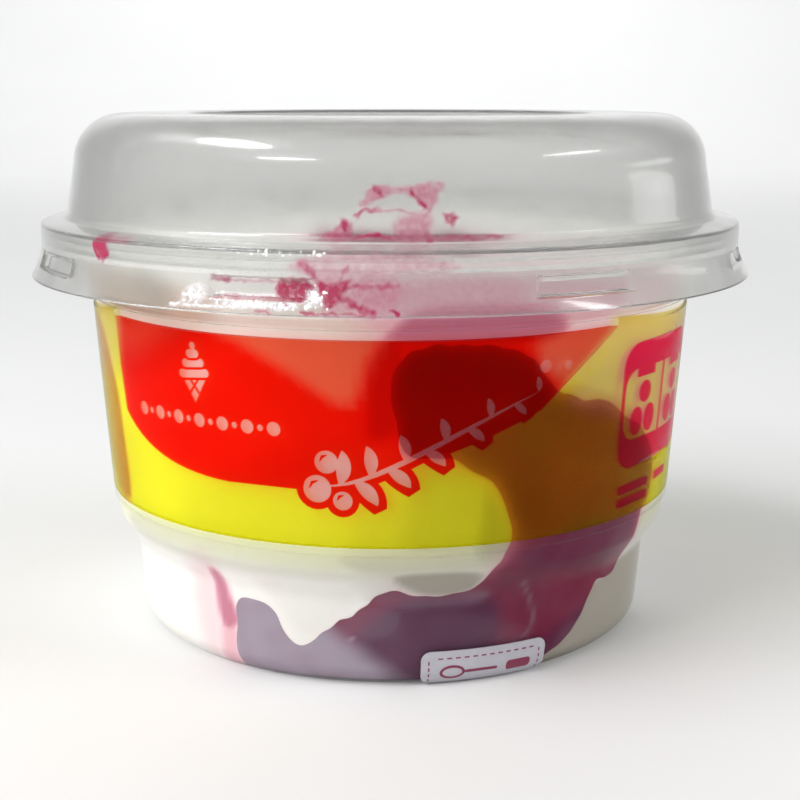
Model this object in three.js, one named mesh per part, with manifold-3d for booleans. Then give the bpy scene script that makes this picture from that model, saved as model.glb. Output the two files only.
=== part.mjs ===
// A lidded single-serve cup of gelato: a clear cup with a stepped foot, a clear dome lid,
// a printed film round the body, cream gelato with berry sauce folded through it, and a small sticker.
// Millimetres, +Z up. The cup stands on z = 0 with its axis on the Z axis, and its front faces -Y.
// Angles round the cup are in degrees from the front, and grow towards +X.

import * as THREE from 'three';
import { mergeVertices } from 'three/addons/utils/BufferGeometryUtils.js';
import Module from 'manifold-3d';

const wasm = await Module();
wasm.setup();

// ---- driving dimensions -------------------------------------------------------------------------------

const LID_SIDES = 64; // facets round the lid, eight to each lug
const CUP_SIDES = 48; // facets round the cup and the film
const FOOD_SIDES = 40; // facets round the food
const CORNER_STEPS = 4; // facets along a rounded corner
const FIT_GAP = 0.3; // clearance between neighbours that touch
const FILM_GAP = 0.1; // clearance between the wall and the film or the sticker on it

const CUP = {
  wall: 0.8,
  footRadius: 33.2, // flat disc that the cup stands on
  footCorner: [2.8, 3.0], // width and height of the rounding from the foot into the bowl
  bowlRadius: 36.7, // top of the lower bowl
  bowlHeight: 11.7,
  stepBends: [[0.28, 0.25], [0.9, 0.75]], // the step's two bends, as shares of its width and height
  shoulderRadius: 39.4, // the body starts here, above the step
  shoulderHeight: 17.0,
  bodyRadius: 41.45, // top of the printed body
  bodyHeight: 46.5,
  ledgeRadius: 42.3, // stacking ledge over the body
  ledgeHeight: 47.3,
  neckRadius: 42.8,
  rimRadius: 47.35, // flat rim that the lid snaps over
  rimUnderside: 53.75,
  rimTop: 55.0,
};

const LID = {
  wall: 0.55,
  topHeight: 70.55,
  recessRadius: 27.2, // floor of the round recess in the top
  recessHeight: 69.0,
  recessSlope: 1.3, // how far the recess widens up to the top
  topRadius: 37.0, // flat top, out to where the corner starts
  cornerRadius: 6.5,
  footRadius: 44.6, // foot of the dome, above the flange
  footHeight: 57.6,
  footFillet: 0.7, // from the dome's foot out to the flange
  flangeSlope: 0.65, // fall of the flange's top, from the fillet to the edge
  flangeRadius: 48.2,
  flangeHeight: 56.3, // outer edge of the flange's top
  edgeRound: 0.5, // rounding of that edge
  flangeFoot: 53.3, // foot of the flange's upright wall
  skirtRadius: 49.8,
  skirtHeight: 49.2,
  skirtCurve: 1.5, // power of the skirt's flare
};

// Snap lugs: shallow pockets pressed into the skirt, whose backs catch under the cup's rim.
const LUG = {
  count: 8,
  firstAngle: 27.65,
  halfWidth: 7.0, // degrees, of the pocket's floor
  slope: 1.1, // degrees, of each end's slope
  bottom: 50.95,
  top: 53.0,
  edge: 0.2, // height of the slope above and below the pocket's floor
  depth: 0.75,
};

const FILM = { thickness: 0.25, bottom: 18.4, top: 46.35 };

const STICKER = {
  angle: 19.5,
  width: 17.4,
  bottom: 0.7,
  top: 4.9,
  thickness: 0.2,
  corner: 1.3,
  columns: 9,
  rows: 5,
};

// The food stands highest in the middle, with soft waves left by the filling nozzle.
const FOOD = {
  edgeHeight: 53.2,
  moundHeight: 1.3,
  waveHeight: 0.45,
  waves: 3, // crests round the cup
  waveTwist: 5, // radians that the crests turn through, from the edge to the middle
  rings: [37, 28, 19, 10], // radii of the rings of points that carry the waves
};

// Pockets of sauce in the cream: an egg-shaped body each, by where its centre lies round the cup, out from
// the axis and above the base, and by its half sizes outwards, sideways and upwards. lean tips it sideways.
const POCKETS = [
  { name: 'core', angle: 0, out: 2, up: 27, reach: 13, spread: 12, rise: 25, lean: 0 },
  { name: 'pool', angle: 2, out: 20, up: 3, reach: 19, spread: 26, rise: 9.5, lean: 0 },
  { name: 'middle swell', angle: 4, out: 29, up: 7.5, reach: 16, spread: 11, rise: 5.6, lean: 0 },
  { name: 'left fold', angle: -26.5, out: 31, up: 6.5, reach: 9, spread: 4.2, rise: 7.6, lean: 0 },
  { name: 'left streak', angle: -34.5, out: 32, up: 10.5, reach: 9, spread: 2.6, rise: 8.8, lean: -8 },
  { name: 'right foot', angle: 41, out: 32, up: 14, reach: 20, spread: 14.5, rise: 7.4, lean: -16 },
  { name: 'right belly', angle: 39, out: 34, up: 26, reach: 25, spread: 15.5, rise: 11.5, lean: 24 },
  { name: 'front heart', angle: 14, out: 34, up: 37.5, reach: 25, spread: 12, rise: 8.2, lean: 14 },
  { name: 'throat', angle: 15, out: 18, up: 47, reach: 14, spread: 11, rise: 9, lean: 0 },
  { name: 'top puddle', angle: 8, out: 20, up: 54.6, reach: 15, spread: 17, rise: 2.4, lean: 0 },
  { name: 'left ribbon', angle: -66, out: 30, up: 30, reach: 28, spread: 5.2, rise: 13.5, lean: 0 },
  { name: 'right back curl', angle: 103, out: 32, up: 20, reach: 28, spread: 8, rise: 12, lean: 14 },
  { name: 'back bank', angle: 158, out: 32, up: 37, reach: 28, spread: 13, rise: 7.5, lean: -10 },
  { name: 'back foot', angle: -158, out: 28, up: 8, reach: 25, spread: 14, rise: 8, lean: 8 },
  { name: 'left back curl', angle: -113, out: 32, up: 31, reach: 27, spread: 6.5, rise: 13, lean: 18 },
];
const POCKET_SIDES = 10;
const POCKET_RINGS = 6;

const MERGE_TOLERANCE = 1e-4;

// ---- finishes -----------------------------------------------------------------------------------------

const clearLid = new THREE.MeshStandardMaterial({
  color: 0xd6d8d4,
  roughness: 0.08,
  metalness: 0,
  transparent: true,
  opacity: 0.3,
});
const clearCup = new THREE.MeshStandardMaterial({
  color: 0xe2e2dc,
  roughness: 0.18,
  metalness: 0,
  transparent: true,
  opacity: 0.35,
});
const printedFilm = new THREE.MeshStandardMaterial({ color: 0xe6dc32, roughness: 0.35, metalness: 0 });
const cream = new THREE.MeshStandardMaterial({ color: 0xf1efe6, roughness: 0.55, metalness: 0 });
const berrySauce = new THREE.MeshStandardMaterial({ color: 0x6d2340, roughness: 0.3, metalness: 0 });
const stickerPaper = new THREE.MeshStandardMaterial({ color: 0xe9e6ea, roughness: 0.6, metalness: 0 });

// ---- outlines, as Vector2 with x out from the axis and y up -------------------------------------------

const point = (radius, height) => new THREE.Vector2(radius, height);

/** Points along an ellipse of a given width and height round a centre, between two angles in degrees. */
function arc(centre, [width, height], from, to) {
  return Array.from({ length: CORNER_STEPS + 1 }, (_, i) => {
    const turn = THREE.MathUtils.degToRad(from + ((to - from) * i) / CORNER_STEPS);
    return point(centre.x + width * Math.cos(turn), centre.y + height * Math.sin(turn));
  });
}

/** Moves an open outline sideways, to the left of its direction of travel, with mitred corners. */
function offsetOutline(outline, distance) {
  const normals = outline.slice(1).map((end, i) => {
    const along = end.clone().sub(outline[i]).normalize();
    return point(-along.y, along.x);
  });
  return outline.map((corner, i) => {
    const before = normals[Math.max(i - 1, 0)];
    const after = normals[Math.min(i, normals.length - 1)];
    const mitre = before.clone().add(after).normalize();
    return corner.clone().addScaledVector(mitre, distance / mitre.dot(before));
  });
}

/** Outer side of the cup, from the middle of its base up to the underside of the rim. */
function cupOutline() {
  const [cornerWidth, cornerHeight] = CUP.footCorner;
  const stepWidth = CUP.shoulderRadius - CUP.bowlRadius;
  const stepHeight = CUP.shoulderHeight - CUP.bowlHeight;
  return [
    point(0, 0),
    ...arc(point(CUP.footRadius, cornerHeight), [cornerWidth, cornerHeight], -90, 0),
    point(CUP.bowlRadius, CUP.bowlHeight),
    ...CUP.stepBends.map(([across, up]) =>
      point(CUP.bowlRadius + across * stepWidth, CUP.bowlHeight + up * stepHeight),
    ),
    point(CUP.shoulderRadius, CUP.shoulderHeight),
    point(CUP.bodyRadius, CUP.bodyHeight),
    point(CUP.ledgeRadius, CUP.ledgeHeight),
    point(CUP.neckRadius, CUP.rimUnderside),
  ];
}

/** Radius at a height between two corners of an outline. */
function radiusBetween(low, high, height) {
  return THREE.MathUtils.mapLinear(height, low.y, high.y, low.x, high.x);
}

/** Radius of the cup's outer side at a height. */
function cupRadiusAt(height) {
  const outline = cupOutline();
  const next = outline.findIndex((corner) => corner.y >= height && corner.y > 0);
  return radiusBetween(outline[next - 1], outline[next], height);
}

/** The part of an outline that lies below a height, cut off exactly at that height. */
function outlineBelow(outline, height) {
  const next = outline.findIndex((corner) => corner.y > height);
  const edge = point(radiusBetween(outline[next - 1], outline[next], height), height);
  return [...outline.slice(0, next), edge];
}

/** Outer side of the lid, from the middle of its top out and down to the skirt, pressed in at a lug. */
function lidOutline(press) {
  const corner = point(LID.topRadius, LID.topHeight - LID.cornerRadius);
  const filletRadius = LID.footRadius + LID.footFillet;
  const skirtAt = (height, pressed = 0) => {
    const drop = (LID.flangeFoot - height) / (LID.flangeFoot - LID.skirtHeight);
    const flare = (LID.skirtRadius - LID.flangeRadius) * drop ** LID.skirtCurve;
    return point(LID.flangeRadius + flare - pressed, height);
  };
  return [
    point(0, LID.recessHeight),
    point(LID.recessRadius, LID.recessHeight),
    point(LID.recessRadius + LID.recessSlope, LID.topHeight),
    ...arc(corner, [LID.cornerRadius, LID.cornerRadius], 90, 0),
    point(LID.footRadius, LID.footHeight),
    point(filletRadius, LID.flangeHeight + LID.flangeSlope),
    point(LID.flangeRadius - LID.edgeRound, LID.flangeHeight),
    point(LID.flangeRadius, LID.flangeHeight - LID.edgeRound),
    point(LID.flangeRadius, LID.flangeFoot),
    skirtAt(LUG.top + LUG.edge),
    skirtAt(LUG.top, press),
    skirtAt(LUG.bottom, press),
    skirtAt(LUG.bottom - LUG.edge),
    skirtAt(LID.skirtHeight),
  ];
}

/** The lid's whole section: along its underside to the skirt's edge, and back over its outer side. */
function lidSection(press) {
  const outside = lidOutline(press);
  const inside = offsetOutline(outside, -LID.wall);
  inside.at(-1).y = LID.skirtHeight;
  return [...inside, ...outside.reverse()];
}

// ---- solids -------------------------------------------------------------------------------------------

/** Turns a closed or axis-to-axis outline round the Z axis, with the outline's y as height. */
function turned(outline, sides) {
  return new THREE.LatheGeometry(outline, sides).rotateX(Math.PI / 2);
}

/** Puts a vector at a radius, an angle in radians from the front, and a height. */
function placeRound(vector, radius, turn, height) {
  return vector.set(radius * Math.sin(turn), -radius * Math.cos(turn), height);
}

/** Rewrites every vertex of a geometry by a function of its position and its index. */
function reshape(geometry, move) {
  const positions = geometry.getAttribute('position');
  const vertex = new THREE.Vector3();
  for (let i = 0; i < positions.count; i += 1) {
    move(vertex.fromBufferAttribute(positions, i), i);
    positions.setXYZ(i, vertex.x, vertex.y, vertex.z);
  }
  geometry.computeVertexNormals();
  return geometry;
}

/** A geometry as a manifold-3d solid, its shared vertices merged and collapsed faces dropped. */
function toSolid(geometry) {
  const bare = geometry.clone();
  bare.deleteAttribute('normal');
  bare.deleteAttribute('uv');
  const merged = mergeVertices(bare, MERGE_TOLERANCE);
  const corners = Array.from(merged.index.array);
  const faces = [];
  for (let i = 0; i < corners.length; i += 3) {
    const [a, b, c] = corners.slice(i, i + 3);
    if (a !== b && b !== c && c !== a) faces.push(a, b, c);
  }
  return new wasm.Manifold(
    new wasm.Mesh({
      numProp: 3,
      vertProperties: new Float32Array(merged.getAttribute('position').array),
      triVerts: new Uint32Array(faces),
    }),
  );
}

/** The largest body of a manifold-3d solid, without the scraps that a cut leaves. */
function largestBody(solid) {
  return solid.decompose().reduce((best, next) => (next.volume() > best.volume() ? next : best));
}

/** A manifold-3d solid as a geometry. */
function toGeometry(solid) {
  const mesh = solid.getMesh();
  const geometry = new THREE.BufferGeometry();
  geometry.setAttribute('position', new THREE.BufferAttribute(mesh.vertProperties, 3));
  geometry.setIndex(new THREE.BufferAttribute(mesh.triVerts, 1));
  geometry.computeVertexNormals();
  return geometry;
}

/** A mesh whose name is its node's name. */
function named(name, geometry, material) {
  const mesh = new THREE.Mesh(geometry, material);
  mesh.name = name;
  return mesh;
}

/** Clear cup: one wall from the base to the neck, with a flat rim turned outwards at the mouth. */
function makeCup() {
  const outside = cupOutline();
  const inside = offsetOutline(outside, CUP.wall).reverse();
  inside[0].y = CUP.rimTop;
  const rim = [point(CUP.rimRadius, CUP.rimUnderside), point(CUP.rimRadius, CUP.rimTop)];
  return named('cup', turned([...outside, ...rim, ...inside], CUP_SIDES), clearCup);
}

/** Clear dome lid, with its facets gathered at the ends of the lugs and the lugs pressed in. */
function makeLid() {
  const pitch = 360 / LUG.count;
  const slopeEnd = LUG.halfWidth + LUG.slope;
  const stops = [-pitch / 2, -pitch / 3, -slopeEnd, -LUG.halfWidth, 0, LUG.halfWidth, slopeEnd, pitch / 3];
  const plain = lidSection(0);
  const pressed = lidSection(LUG.depth);
  const geometry = reshape(turned(plain, LID_SIDES), (vertex, index) => {
    const column = Math.floor(index / plain.length) % LID_SIDES;
    const stop = stops[column % stops.length];
    const section = Math.abs(stop) <= LUG.halfWidth ? pressed : plain;
    const { x: radius, y: height } = section[index % plain.length];
    const lug = Math.floor(column / stops.length);
    placeRound(vertex, radius, THREE.MathUtils.degToRad(LUG.firstAngle + lug * pitch + stop), height);
  });
  return named('lid', geometry, clearLid);
}

/** Printed film: a thin band that follows the body's taper. */
function makeFilm() {
  const side = [FILM.bottom, FILM.top].map((height) => point(cupRadiusAt(height), height));
  const [innerLow, innerHigh] = offsetOutline(side, -FILM_GAP);
  const [outerLow, outerHigh] = offsetOutline(side, -FILM_GAP - FILM.thickness);
  return named('label', turned([innerLow, outerLow, outerHigh, innerHigh, innerLow], CUP_SIDES), printedFilm);
}

/** The cup's whole filling, before it is shared out between cream and sauce. */
function makeFilling() {
  const side = outlineBelow(offsetOutline(cupOutline(), CUP.wall + FIT_GAP), FOOD.edgeHeight);
  const rings = FOOD.rings.map((radius) => point(radius, FOOD.edgeHeight));
  const flat = turned([...side, ...rings, point(0, FOOD.edgeHeight)], FOOD_SIDES);
  const edgeRadius = side.at(-1).x;
  const waved = reshape(flat, (vertex) => {
    if (vertex.z < FOOD.edgeHeight - MERGE_TOLERANCE) return;
    const inward = 1 - Math.hypot(vertex.x, vertex.y) / edgeRadius;
    const turn = Math.atan2(vertex.x, -vertex.y);
    const swell = Math.sin((inward * Math.PI) / 2);
    const wave = Math.sin(FOOD.waves * turn + FOOD.waveTwist * inward) * Math.sin(inward * Math.PI);
    vertex.z += FOOD.moundHeight * swell + FOOD.waveHeight * wave;
  });
  return toSolid(waved);
}

/** One pocket of sauce, its half sizes grown by a margin. */
function makePocket({ angle, out, up, reach, spread, rise, lean }, margin) {
  const geometry = new THREE.SphereGeometry(1, POCKET_SIDES, POCKET_RINGS);
  geometry.rotateX(Math.PI / 2);
  geometry.scale(spread + margin, reach + margin, rise + margin);
  geometry.rotateY(THREE.MathUtils.degToRad(lean));
  geometry.translate(0, -out, up);
  geometry.rotateZ(THREE.MathUtils.degToRad(angle));
  return toSolid(geometry);
}

/** All the pockets joined into one body. */
function makeSauceBody(margin) {
  return POCKETS.map((pocket) => makePocket(pocket, margin)).reduce((joined, next) => joined.add(next));
}

/** Small sticker bent round the lower bowl, with rounded corners. */
function makeSticker() {
  const { width, thickness, corner, bottom, top, columns, rows } = STICKER;
  const height = top - bottom;
  const flat = new THREE.BoxGeometry(width, thickness, height, columns, 1, rows);
  const bent = reshape(flat, (vertex) => {
    const level = bottom + height / 2 + vertex.z;
    const toEdge = Math.min(level - bottom, top - level, corner);
    const inset = corner - Math.sqrt(corner ** 2 - (corner - toEdge) ** 2);
    const across = vertex.x * (1 - (2 * inset) / width);
    const turn = THREE.MathUtils.degToRad(STICKER.angle) + across / CUP.bowlRadius;
    const radius = cupRadiusAt(level) + FILM_GAP + thickness / 2 - vertex.y;
    placeRound(vertex, radius, turn, level);
  });
  return named('sticker', bent, stickerPaper);
}

// ---- assembly -----------------------------------------------------------------------------------------

const filling = makeFilling();
const sauce = largestBody(filling.intersect(makeSauceBody(0)));
const gelato = largestBody(filling.subtract(makeSauceBody(FIT_GAP)));

const gelatoCup = new THREE.Group();
gelatoCup.add(
  makeCup(),
  makeLid(),
  makeFilm(),
  named('gelato', toGeometry(gelato), cream),
  named('berry_sauce', toGeometry(sauce), berrySauce),
  makeSticker(),
);

export default gelatoCup;
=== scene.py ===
"""Looks of a lidded cup of gelato: clear shells, printed film, marbled food, sauce smears and a sticker.

Lengths are in millimetres inside the classes, and become metres when a mesh is made. Angles round the cup
are in degrees from its front (-Y), and grow towards +X.
"""

import logging
import math
from collections.abc import Callable, Sequence
from dataclasses import dataclass, field
from enum import Enum

import bmesh
import bpy
import numpy as np
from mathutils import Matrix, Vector
from mathutils.bvhtree import BVHTree
from mathutils.geometry import delaunay_2d_cdt


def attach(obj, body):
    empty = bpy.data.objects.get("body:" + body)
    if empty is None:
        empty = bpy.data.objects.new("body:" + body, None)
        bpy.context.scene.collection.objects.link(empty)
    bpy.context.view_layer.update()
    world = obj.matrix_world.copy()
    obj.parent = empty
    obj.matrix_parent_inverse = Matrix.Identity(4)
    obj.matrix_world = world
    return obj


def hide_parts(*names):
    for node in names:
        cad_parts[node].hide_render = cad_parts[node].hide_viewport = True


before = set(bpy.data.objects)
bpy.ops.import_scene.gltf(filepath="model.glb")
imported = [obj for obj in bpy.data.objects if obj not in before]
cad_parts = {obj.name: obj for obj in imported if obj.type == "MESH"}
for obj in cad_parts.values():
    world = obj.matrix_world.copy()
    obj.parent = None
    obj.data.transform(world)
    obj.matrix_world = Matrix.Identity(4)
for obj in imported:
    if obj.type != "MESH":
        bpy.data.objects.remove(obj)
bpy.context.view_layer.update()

log = logging.getLogger("gelato_cup")

MM = 0.001
BODY = "root"
FIT_GAP = 0.3  # clearance that the frame's solids keep from each other
FILM_GAP = 0.1  # clearance between the wall and the film or the sticker on it
SHARP_ANGLE = math.radians(42)
WELD = 1e-7  # metres
LONGEST_CUT = 0.48  # share of a side that a rounded corner may take

Colour = tuple[float, float, float]
WallRule = Callable[[np.ndarray, np.ndarray], np.ndarray]  # distances, from angles in radians and heights


# ---- shapes shared by the pieces ----------------------------------------------------------------------


@dataclass(frozen=True)
class Corner:
    """A corner of an outline, by its distance from the axis, its height, and the radius that rounds it."""

    radius: float
    height: float
    rounding: float = 0.0


def rounded(corners: Sequence[Corner], steps: int = 6) -> np.ndarray:
    """Draws an open outline through its corners, each rounded by its own radius.

    Args:
        corners: The outline's corners in order.
        steps: Pieces along each rounded corner.

    Returns:
        The outline's points, one row of distance and height each.
    """
    spots = np.array([(c.radius, c.height) for c in corners])
    points = [spots[0]]
    for before, here, after, corner in zip(spots, spots[1:], spots[2:], corners[1:]):
        back, ahead = before - here, after - here
        reach_back, reach_ahead = np.linalg.norm(back), np.linalg.norm(ahead)
        back, ahead = back / reach_back, ahead / reach_ahead
        half_turn = (math.pi - math.acos(np.clip(back @ ahead, -1, 1))) / 2
        longest = LONGEST_CUT * min(reach_back, reach_ahead)
        cut = min(corner.rounding * math.tan(half_turn), longest)
        if cut <= 0:
            points.append(here)
            continue
        for share in np.linspace(0, 1, steps + 1):
            start, end = here + back * cut, here + ahead * cut
            points.append((1 - share) ** 2 * start + 2 * share * (1 - share) * here + share**2 * end)
    points.append(spots[-1])
    return np.array(points)


def resampled(outline: np.ndarray, step: float) -> np.ndarray:
    """Adds points along an outline so that none of its pieces is longer than a step.

    Args:
        outline: The outline's points.
        step: The longest piece in millimetres.

    Returns:
        The outline's old and new points.
    """
    pieces = [outline[:1]]
    for start, end in zip(outline, outline[1:]):
        count = max(1, math.ceil(np.linalg.norm(end - start) / step))
        pieces.append(start + (end - start) * (np.arange(1, count + 1) / count)[:, None])
    return np.concatenate(pieces)


def offset(outline: np.ndarray, distance: float) -> np.ndarray:
    """Moves an open outline to the left of its direction of travel, with mitred corners.

    Args:
        outline: The outline's points.
        distance: How far it moves, and to the right if negative.

    Returns:
        The moved outline, point for point.
    """
    along = np.diff(outline, axis=0)
    along /= np.linalg.norm(along, axis=1)[:, None]
    normals = np.stack([-along[:, 1], along[:, 0]], axis=1)
    before = np.concatenate([normals[:1], normals])
    after = np.concatenate([normals, normals[-1:]])
    mitres = before + after
    mitres /= np.linalg.norm(mitres, axis=1)[:, None]
    return outline + mitres * (distance / (mitres * before).sum(1))[:, None]


def bezier(
    start: Sequence[float], one: Sequence[float], two: Sequence[float], end: Sequence[float], steps: int = 14
) -> list[np.ndarray]:
    """Points along a cubic curve, without its last one.

    Args:
        start: The curve's first point.
        one: The point that it starts towards.
        two: The point that it arrives from.
        end: Its last point.
        steps: Pieces along the curve.

    Returns:
        The curve's points.
    """
    shares = np.linspace(0, 1, steps + 1)[:-1, None]
    parts = ((1 - shares) ** 3, 3 * shares * (1 - shares) ** 2, 3 * shares**2 * (1 - shares), shares**3)
    return list(sum(part * np.array(spot) for part, spot in zip(parts, (start, one, two, end))))


def step_between(values: np.ndarray, low: float, high: float) -> np.ndarray:
    """Rises smoothly from 0 where values are low to 1 where they are high."""
    share = np.clip((values - low) / (high - low), 0, 1)
    return share * share * (3 - 2 * share)


def ripple(points: np.ndarray, wavelength: float, seed: int, waves: int = 9) -> np.ndarray:
    """Smooth irregular values from about -1 to 1, the same for the same seed.

    Args:
        points: Places in millimetres, one row each.
        wavelength: Typical distance between crests.
        seed: Picks the directions and phases of the waves.
        waves: How many waves are summed.

    Returns:
        One value for each place.
    """
    draw = np.random.default_rng(seed)
    ways = draw.normal(size=(waves, points.shape[-1]))
    ways /= np.linalg.norm(ways, axis=1)[:, None]
    ways *= 2 * math.pi / wavelength * draw.uniform(0.6, 1.6, (waves, 1))
    phases = draw.uniform(0, 2 * math.pi, waves)
    return np.sin(points @ ways.T + phases).sum(-1) / math.sqrt(waves)


def round_axis(radius: np.ndarray, turn: np.ndarray, height: np.ndarray) -> np.ndarray:
    """Places at a distance from the axis, an angle in radians from the front, and a height."""
    return np.stack(np.broadcast_arrays(radius * np.sin(turn), -radius * np.cos(turn), height), axis=-1)


def turn_of(points: np.ndarray) -> np.ndarray:
    """Angle in degrees from the front of each place."""
    return np.degrees(np.arctan2(points[:, 0], -points[:, 1]))


@dataclass
class Skin:
    """Faces of a mesh in the making, with the material slot of each, and named values of its points."""

    points: np.ndarray
    faces: list[tuple[int, ...]]
    slots: np.ndarray | None = None
    values: dict[str, np.ndarray] = field(default_factory=dict)

    def piece(self, name: str, materials: Sequence[bpy.types.Material]) -> bpy.types.Object:
        """Makes a Blender object from the faces, welded, with its normals out and its corners sharp.

        Args:
            name: The object's name.
            materials: The materials of its slots.

        Returns:
            The new object, linked to the scene.
        """
        mesh = bpy.data.meshes.new(name)
        mesh.from_pydata((self.points * MM).tolist(), [], self.faces)
        if self.slots is not None:
            mesh.polygons.foreach_set("material_index", self.slots.astype(np.int32))
        work = bmesh.new()
        work.from_mesh(mesh)
        if not self.values:
            bmesh.ops.remove_doubles(work, verts=work.verts, dist=WELD)
        bmesh.ops.recalc_face_normals(work, faces=work.faces)
        work.to_mesh(mesh)
        work.free()
        for label, values in self.values.items():
            put_values(mesh, label, values)
        for material in materials:
            mesh.materials.append(material)
        shade(mesh)
        return placed(name, mesh)


def placed(name: str, data: bpy.types.ID) -> bpy.types.Object:
    """Makes an object of a mesh, a lamp or a camera, and links it to the scene.

    Args:
        name: The object's name.
        data: Its mesh, lamp or camera.

    Returns:
        The new object.
    """
    thing = bpy.data.objects.new(name, data)
    bpy.context.scene.collection.objects.link(thing)
    return thing


def shade(mesh: bpy.types.Mesh) -> None:
    """Shades a mesh smooth, apart from its sharp corners."""
    mesh.shade_smooth()
    mesh.set_sharp_from_angle(angle=SHARP_ANGLE)


def turned(outline: np.ndarray, columns: int, press: WallRule | None = None) -> Skin:
    """Turns an outline round the axis.

    Args:
        outline: A closed outline, or one that starts and ends on the axis.
        columns: Facets round the axis.
        press: Gives how far the surface is pressed in, from angles in radians and heights.

    Returns:
        The turned surface.
    """
    rows = len(outline)
    turns = np.linspace(0, 2 * math.pi, columns, endpoint=False)[:, None]
    heights = np.broadcast_to(outline[:, 1], (columns, rows))
    radii = np.broadcast_to(outline[:, 0], (columns, rows))
    if press is not None:
        radii = radii - press(turns, heights)
    points = round_axis(radii, turns, heights).reshape(-1, 3)
    here = np.arange(columns)[:, None] * rows + np.arange(rows - 1)
    there = (np.arange(1, columns + 1) % columns)[:, None] * rows + np.arange(rows - 1)
    quads = np.stack([here, there, there + 1, here + 1], axis=-1).reshape(-1, 4)
    return Skin(points, quads.tolist())


def points_of(mesh: bpy.types.Mesh) -> np.ndarray:
    """A mesh's vertices in millimetres.

    Args:
        mesh: The mesh to read.

    Returns:
        One row for each vertex.
    """
    flat = np.empty(len(mesh.vertices) * 3, np.float32)
    mesh.vertices.foreach_get("co", flat)
    return flat.reshape(-1, 3).astype(float) / MM


def normals_of(mesh: bpy.types.Mesh) -> np.ndarray:
    """The normal at each of a mesh's vertices.

    Args:
        mesh: The mesh to read.

    Returns:
        One row for each vertex.
    """
    flat = np.empty(len(mesh.vertices) * 3, np.float32)
    mesh.vertices.foreach_get("normal", flat)
    return flat.reshape(-1, 3).astype(float)


def put_points(mesh: bpy.types.Mesh, points: np.ndarray) -> None:
    """Moves a mesh's vertices to places in millimetres."""
    mesh.vertices.foreach_set("co", (points * MM).astype(np.float32).ravel())
    mesh.update()


def put_values(mesh: bpy.types.Mesh, name: str, values: np.ndarray) -> None:
    """Stores one number for each vertex under an attribute's name."""
    attribute = mesh.attributes.new(name, "FLOAT", "POINT")
    attribute.data.foreach_set("value", values.astype(np.float32))


def rim_of(faces: list[list[int]]) -> list[tuple[int, int, int]]:
    """Edges that only one face has: their ends in that face's order, and its number.

    Args:
        faces: The faces' corners, by number.

    Returns:
        Start, end and face number of each edge.
    """
    owners = {}
    for number, face in enumerate(faces):
        for start, end in zip(face, face[1:] + face[:1]):
            owners.setdefault((min(start, end), max(start, end)), []).append((start, end, number))
    return [sides[0] for sides in owners.values() if len(sides) == 1]


def doubled(faces: np.ndarray, rim: Sequence[tuple[int, int, int]], count: int) -> list[tuple[int, ...]]:
    """Makes a flat net into a thin closed one.

    Args:
        faces: The net's faces.
        rim: Its border's edges.
        count: How many points it has. The second layer's points follow after them.

    Returns:
        The faces turned over, the same faces on the second layer, and the walls between them.
    """
    walls = [(a, b, b + count, a + count) for a, b, _ in rim]
    return [*faces[:, ::-1].tolist(), *(faces + count).tolist(), *walls]


def settle(piece: bpy.types.Object, slot: str, *nodes: str) -> None:
    """Hangs a finished piece on the body, in place of the frame's nodes.

    Args:
        piece: The finished piece.
        slot: A material slot's name. It is not used.
        nodes: The frame's nodes that the piece stands for.
    """
    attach(piece, BODY)
    if nodes:
        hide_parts(*nodes)
    log.info("%s: %d faces", piece.name, len(piece.data.polygons))


# ---- finishes -----------------------------------------------------------------------------------------


class Tree:
    """A shader node tree in the making."""

    def __init__(self, nodes: bpy.types.NodeTree) -> None:
        """Starts on an empty tree."""
        self.nodes = nodes
        self.nodes.nodes.clear()

    def add(self, kind: str, *values: object, **settings: object) -> bpy.types.Node:
        """Adds a node.

        Args:
            kind: The node's type, without its ShaderNode prefix.
            values: Values for its first sockets, in their order.
            settings: Its properties, or values for its sockets, with _ for a space in their names.

        Returns:
            The new node.
        """
        node = self.nodes.nodes.new(kind if kind.startswith("NodeGroup") else f"ShaderNode{kind}")
        for socket, value in zip(node.inputs, values):
            self.feed(socket, value)
        for name, value in settings.items():
            if hasattr(node, name):
                setattr(node, name, value)
            else:
                self.feed(node.inputs[name.replace("_", " ")], value)
        return node

    def feed(self, socket: bpy.types.NodeSocket, value: object) -> None:
        """Links an output to a socket, or sets the socket's own value.

        Args:
            socket: The input to fill.
            value: An output, a number or a colour.
        """
        if isinstance(value, bpy.types.NodeSocket):
            self.nodes.links.new(value, socket)
        elif isinstance(value, tuple) and len(value) == 3 and socket.type == "RGBA":
            socket.default_value = (*value, 1)
        else:
            socket.default_value = value

    def blend(self, share: object, low: object, high: object) -> bpy.types.NodeSocket:
        """The colour between two colours, by a share from 0 to 1.

        Args:
            share: How much of the second colour there is.
            low: The colour at 0.
            high: The colour at 1.

        Returns:
            The blended colour.
        """
        node = self.nodes.nodes.new("ShaderNodeMix")
        node.data_type = "RGBA"
        for index, value in ((0, share), (6, low), (7, high)):
            self.feed(node.inputs[index], value)
        return node.outputs[2]

    def group(self, group: bpy.types.NodeTree, **values: object) -> bpy.types.NodeSocket:
        """Places a shared node group with its own values, and gives its output."""
        return self.add("Group", node_tree=group, **values).outputs[0]

    def stored(self, label: str) -> bpy.types.NodeSocket:
        """The value that the mesh's points store under a name."""
        return self.add("Attribute", attribute_name=label).outputs["Fac"]


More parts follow.
